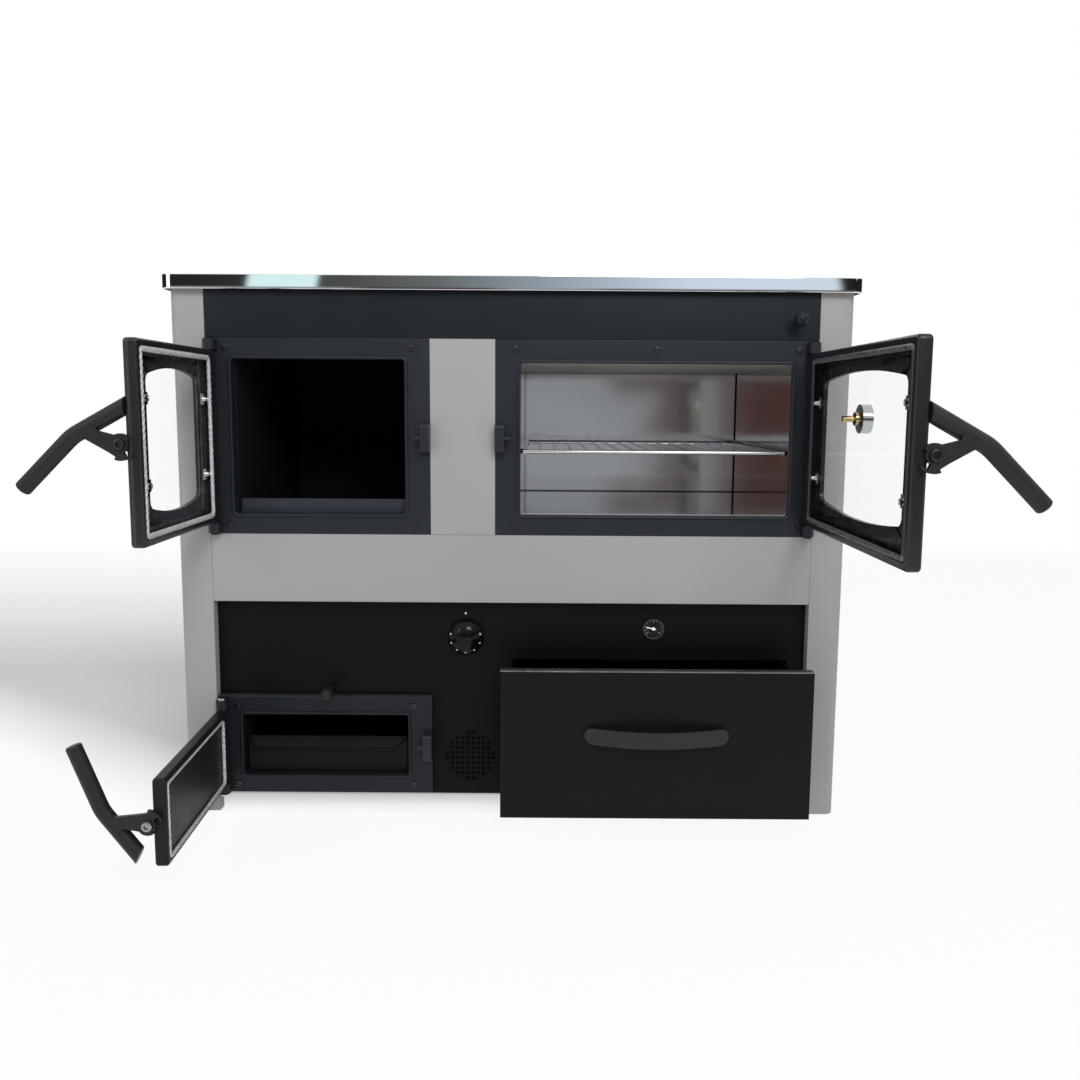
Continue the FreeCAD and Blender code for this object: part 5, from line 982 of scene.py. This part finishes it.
class STOVE_OT_stage(bpy.types.Operator):
    """Pale floor, soft light and the camera"""
    bl_idname = "stove.stage"
    bl_label = "Stage"

    def execute(self, context):
        stage = sizes("stove_stage")
        scene = context.scene
        scene.view_settings.view_transform = "Standard"
        self.floor(stage)
        self.screen(stage)
        self.world(scene, stage)
        self.lamp(scene, "key softbox", (0.75, -2.9, 2.5), stage.key, size=1.3)
        self.lamp(scene, "fill softbox", (-2.2, -2.0, 1.6), stage.fill, size=1.6)
        self.camera(scene, stage)
        return {"FINISHED"}

    def floor(self, stage):
        """Flat grid under the stove, seen as white but holding the shadow behind on the left.

        Its glow is max(far(y), front(y), near(y + k x), right(x)), y from the front panels."""
        reach, count, under, slope = 7.0, 15, -0.0002, 0.77
        shaded, lit = 0.02, 0.92
        edge = np.linspace(-reach, reach, count)
        x, y = np.meshgrid(edge, edge, indexing="ij")
        points = np.stack([x, y, np.full_like(x, under)], -1)
        faces = net(count, count, False, False)[:, ::-1]
        floor = mesh_of("studio_floor", points, faces, False, False)
        material, tree, shader = finish_of("studio floor")
        cloud = noise(place_of(tree), 1.2, 3.0, 0.5)
        tone = blend(cloud, shade(stage.floor, 0.99), shade(stage.floor, 1.01))
        feed(shader, {"Base Color": tone, "Roughness": 0.8, "Specular IOR Level": 0.1})
        across = axis_of(tree, X)
        behind = sums("SUBTRACT", axis_of(tree, Y), FRONT_Y)
        slant = sums("ADD", times(across, slope), behind)
        far = ramp(span(behind, 0.9, 3.3),
                   [(0.0, shaded), (0.27, 0.5), (0.46, 0.72), (0.67, 0.87), (1.0, 1.0)])
        front = span(behind, 0.16, 0.0, shaded, lit)
        near = span(slant, -0.15, -0.45, shaded, lit)
        right = span(across, -0.6, 0.5, shaded, lit)
        white = times(seen(tree), most(far, front, near, right))
        glow = plant(tree, "ShaderNodeEmission", {"Color": (1, 1, 1), "Strength": 1.0})
        both = plant(tree, "ShaderNodeMixShader",
                     {0: white, 1: shader.outputs["BSDF"], 2: glow.outputs["Emission"]})
        feed(tree.nodes["Material Output"], {"Surface": both.outputs[0]})
        lay_out(tree)
        floor.data.materials.append(material)

    def screen(self, stage):
        """Three-sided screen P = (path(t), z) round the front, which only shiny surfaces see.

        A strip at the rail's mirror height has tones along X; below it lies a plain wall with
        a warm and a dim patch, and the two wings are white."""
        half, top, front, rear = 3.6, 3.2, FRONT_Y - 3.0, FRONT_Y + 2.0
        path = np.array([[-half, rear], [-half, front], [half, front], [half, rear]])
        rows = np.stack([path] * 2, 1)
        height = np.broadcast_to(np.array([0.0, top])[None, :, None], (len(path), 2, 1))
        points = np.concatenate([rows, height], -1)
        screen = mesh_of("studio_screen", points, net(len(path), 2, False, False), False, False)
        material, tree, shader = finish_of("studio screen")
        tree.nodes.remove(shader)
        across, up = axis_of(tree, X), axis_of(tree, Z)
        room = self.room(tree, across, up, stage)
        wall = between(across, -half + 0.05, half - 0.05, 0.02)
        room = blend(wall, (0.9, 0.9, 0.9), room)
        strip = between(up, 1.02, 1.5, 0.06)
        light = blend(strip, room, self.bands(across))
        light = blend(between(up, 1.75, 5.0, 0.3), light, (0.8, 0.8, 0.8))
        glow = plant(tree, "ShaderNodeEmission", {"Color": light, "Strength": 1.0})
        feed(tree.nodes["Material Output"], {"Surface": glow.outputs["Emission"]})
        lay_out(tree)
        screen.data.materials.append(material)
        screen.visible_camera = False
        screen.visible_diffuse = False
        screen.visible_shadow = False

    def room(self, tree, across, up, stage):
        """Blotched wall with a warm patch and a dim one, whose edge is ragged."""
        blot = noise(place_of(tree), 1.1, 3.0, 0.6)
        room = blend(blot, shade(stage.room, 0.7), shade(stage.room, 1.25))
        warm = times(between(across, -0.8, -0.22, 0.16), between(up, 0.1, 1.0, 0.12))
        room = blend(warm, room, tuple(stage.warm))
        ragged = level(noise(place_of(tree), 3.4, 6.0, 0.7), -0.4, 0.4)
        edge = sums("ADD", across, ragged)
        brow = sums("ADD", up, times(ragged, 0.3))
        low = times(between(edge, 0.72, 1.7, 0.15), between(up, 0.2, 1.0, 0.12))
        high = times(between(edge, 0.42, 1.7, 0.2), between(brow, 0.76, 1.3, 0.1))
        return blend(most(low, high), room, tuple(stage.dim))

    def bands(self, across):
        """Tones along X of the strip that the rail mirrors."""
        reach, dark, cold = 2.0, 0.014, (0.77, 1.0, 1.0)
        tones = [(-1.9, dark), (-1.42, 0.03), (-1.395, cold), (-1.065, cold), (-1.04, 0.07),
                 (-0.87, 0.085), (-0.44, (0.145, 0.165, 0.17)), (-0.15, (0.24, 0.28, 0.31)),
                 (0.33, (0.42, 0.5, 0.57)), (0.8, (0.66, 0.76, 0.9)), (1.54, (0.7, 0.8, 0.88)),
                 (1.58, dark)]
        stops = [((spot + reach) / (2 * reach), tone) for spot, tone in tones]
        return ramp(span(across, -reach, reach), stops)

    def world(self, scene, stage):
        """Even light on the object; white where it is seen, reflected or looked through to."""
        scene.world = bpy.data.worlds.new("studio")
        scene.world.use_nodes = True
        tree = scene.world.node_tree
        tree.nodes.clear()
        even, white = (plant(tree, "ShaderNodeBackground", {"Color": (1, 1, 1), "Strength": light})
                       for light in (stage.sky, 1.0))
        mix = plant(tree, "ShaderNodeMixShader",
                    {0: seen(tree), 1: even.outputs[0], 2: white.outputs[0]})
        plant(tree, "ShaderNodeOutputWorld", {"Surface": mix.outputs[0]})
        lay_out(tree)

    def lamp(self, scene, name, place, watts, size):
        """Square softbox at a place measured from the front, aimed at the middle of the stove."""
        front, aim = np.array([0, FRONT_Y, 0]), np.array([0.0, 0.1, 0.45])
        data = bpy.data.lights.new(name, "AREA")
        data.shape = "SQUARE"
        data.size = size
        data.energy = watts
        lamp = bpy.data.objects.new(name, data)
        scene.collection.objects.link(lamp)
        lamp.location = place + front
        lamp.rotation_mode = "QUATERNION"
        axes = np.stack(axes_of(place - aim), 1)
        lamp.rotation_quaternion = Matrix(axes.tolist()).to_quaternion()

    def camera(self, scene, stage):
        """Camera at the photo's eye, pitched down and rolled about its own axis."""
        data = bpy.data.cameras.new("photo camera")
        data.lens = stage.lens
        data.sensor_width = 36.0
        eye = bpy.data.objects.new("photo camera", data)
        scene.collection.objects.link(eye)
        eye.location = (stage.eye[X], stage.eye[Y] + FRONT_Y, stage.eye[Z])
        eye.rotation_mode = "QUATERNION"
        tilt = Euler((math.pi / 2 - stage.pitch, 0.0, 0.0)).to_quaternion()
        eye.rotation_quaternion = tilt @ Quaternion((0, 0, 1), stage.roll)
        scene.camera = eye


class STOVE_PT_sidebar(bpy.types.Panel):
    """Lists the steps that dress the stove"""
    bl_idname = "STOVE_PT_sidebar"
    bl_label = "Wood cookstove"
    bl_space_type = "VIEW_3D"
    bl_region_type = "UI"
    bl_category = "Stove"

    def draw(self, context):
        for step in STEPS:
            self.layout.operator(step.bl_idname)
        for group in GROUPS:
            owner = getattr(context.scene, group)
            for name in owner.bl_rna.properties.keys():
                if name not in ("rna_type", "name"):
                    self.layout.prop(owner, name)


STEPS = (STOVE_OT_finishes, STOVE_OT_ropes, STOVE_OT_dials, STOVE_OT_screws, STOVE_OT_stage)
GROUPS = {"stove_paint": StovePaint, "stove_rope": StoveRope, "stove_stage": StoveStage}


def register():
    for kind in (*GROUPS.values(), *STEPS, STOVE_PT_sidebar):
        bpy.utils.register_class(kind)
    for name, kind in GROUPS.items():
        setattr(bpy.types.Scene, name, bpy.props.PointerProperty(type=kind))


def unregister():
    for name in GROUPS:
        delattr(bpy.types.Scene, name)
    for kind in reversed((*GROUPS.values(), *STEPS, STOVE_PT_sidebar)):
        bpy.utils.unregister_class(kind)


def main():
    register()
    for step in STEPS:
        family, name = step.bl_idname.split(".")
        getattr(getattr(bpy.ops, family), name)()


if __name__ == "__main__":
    main()
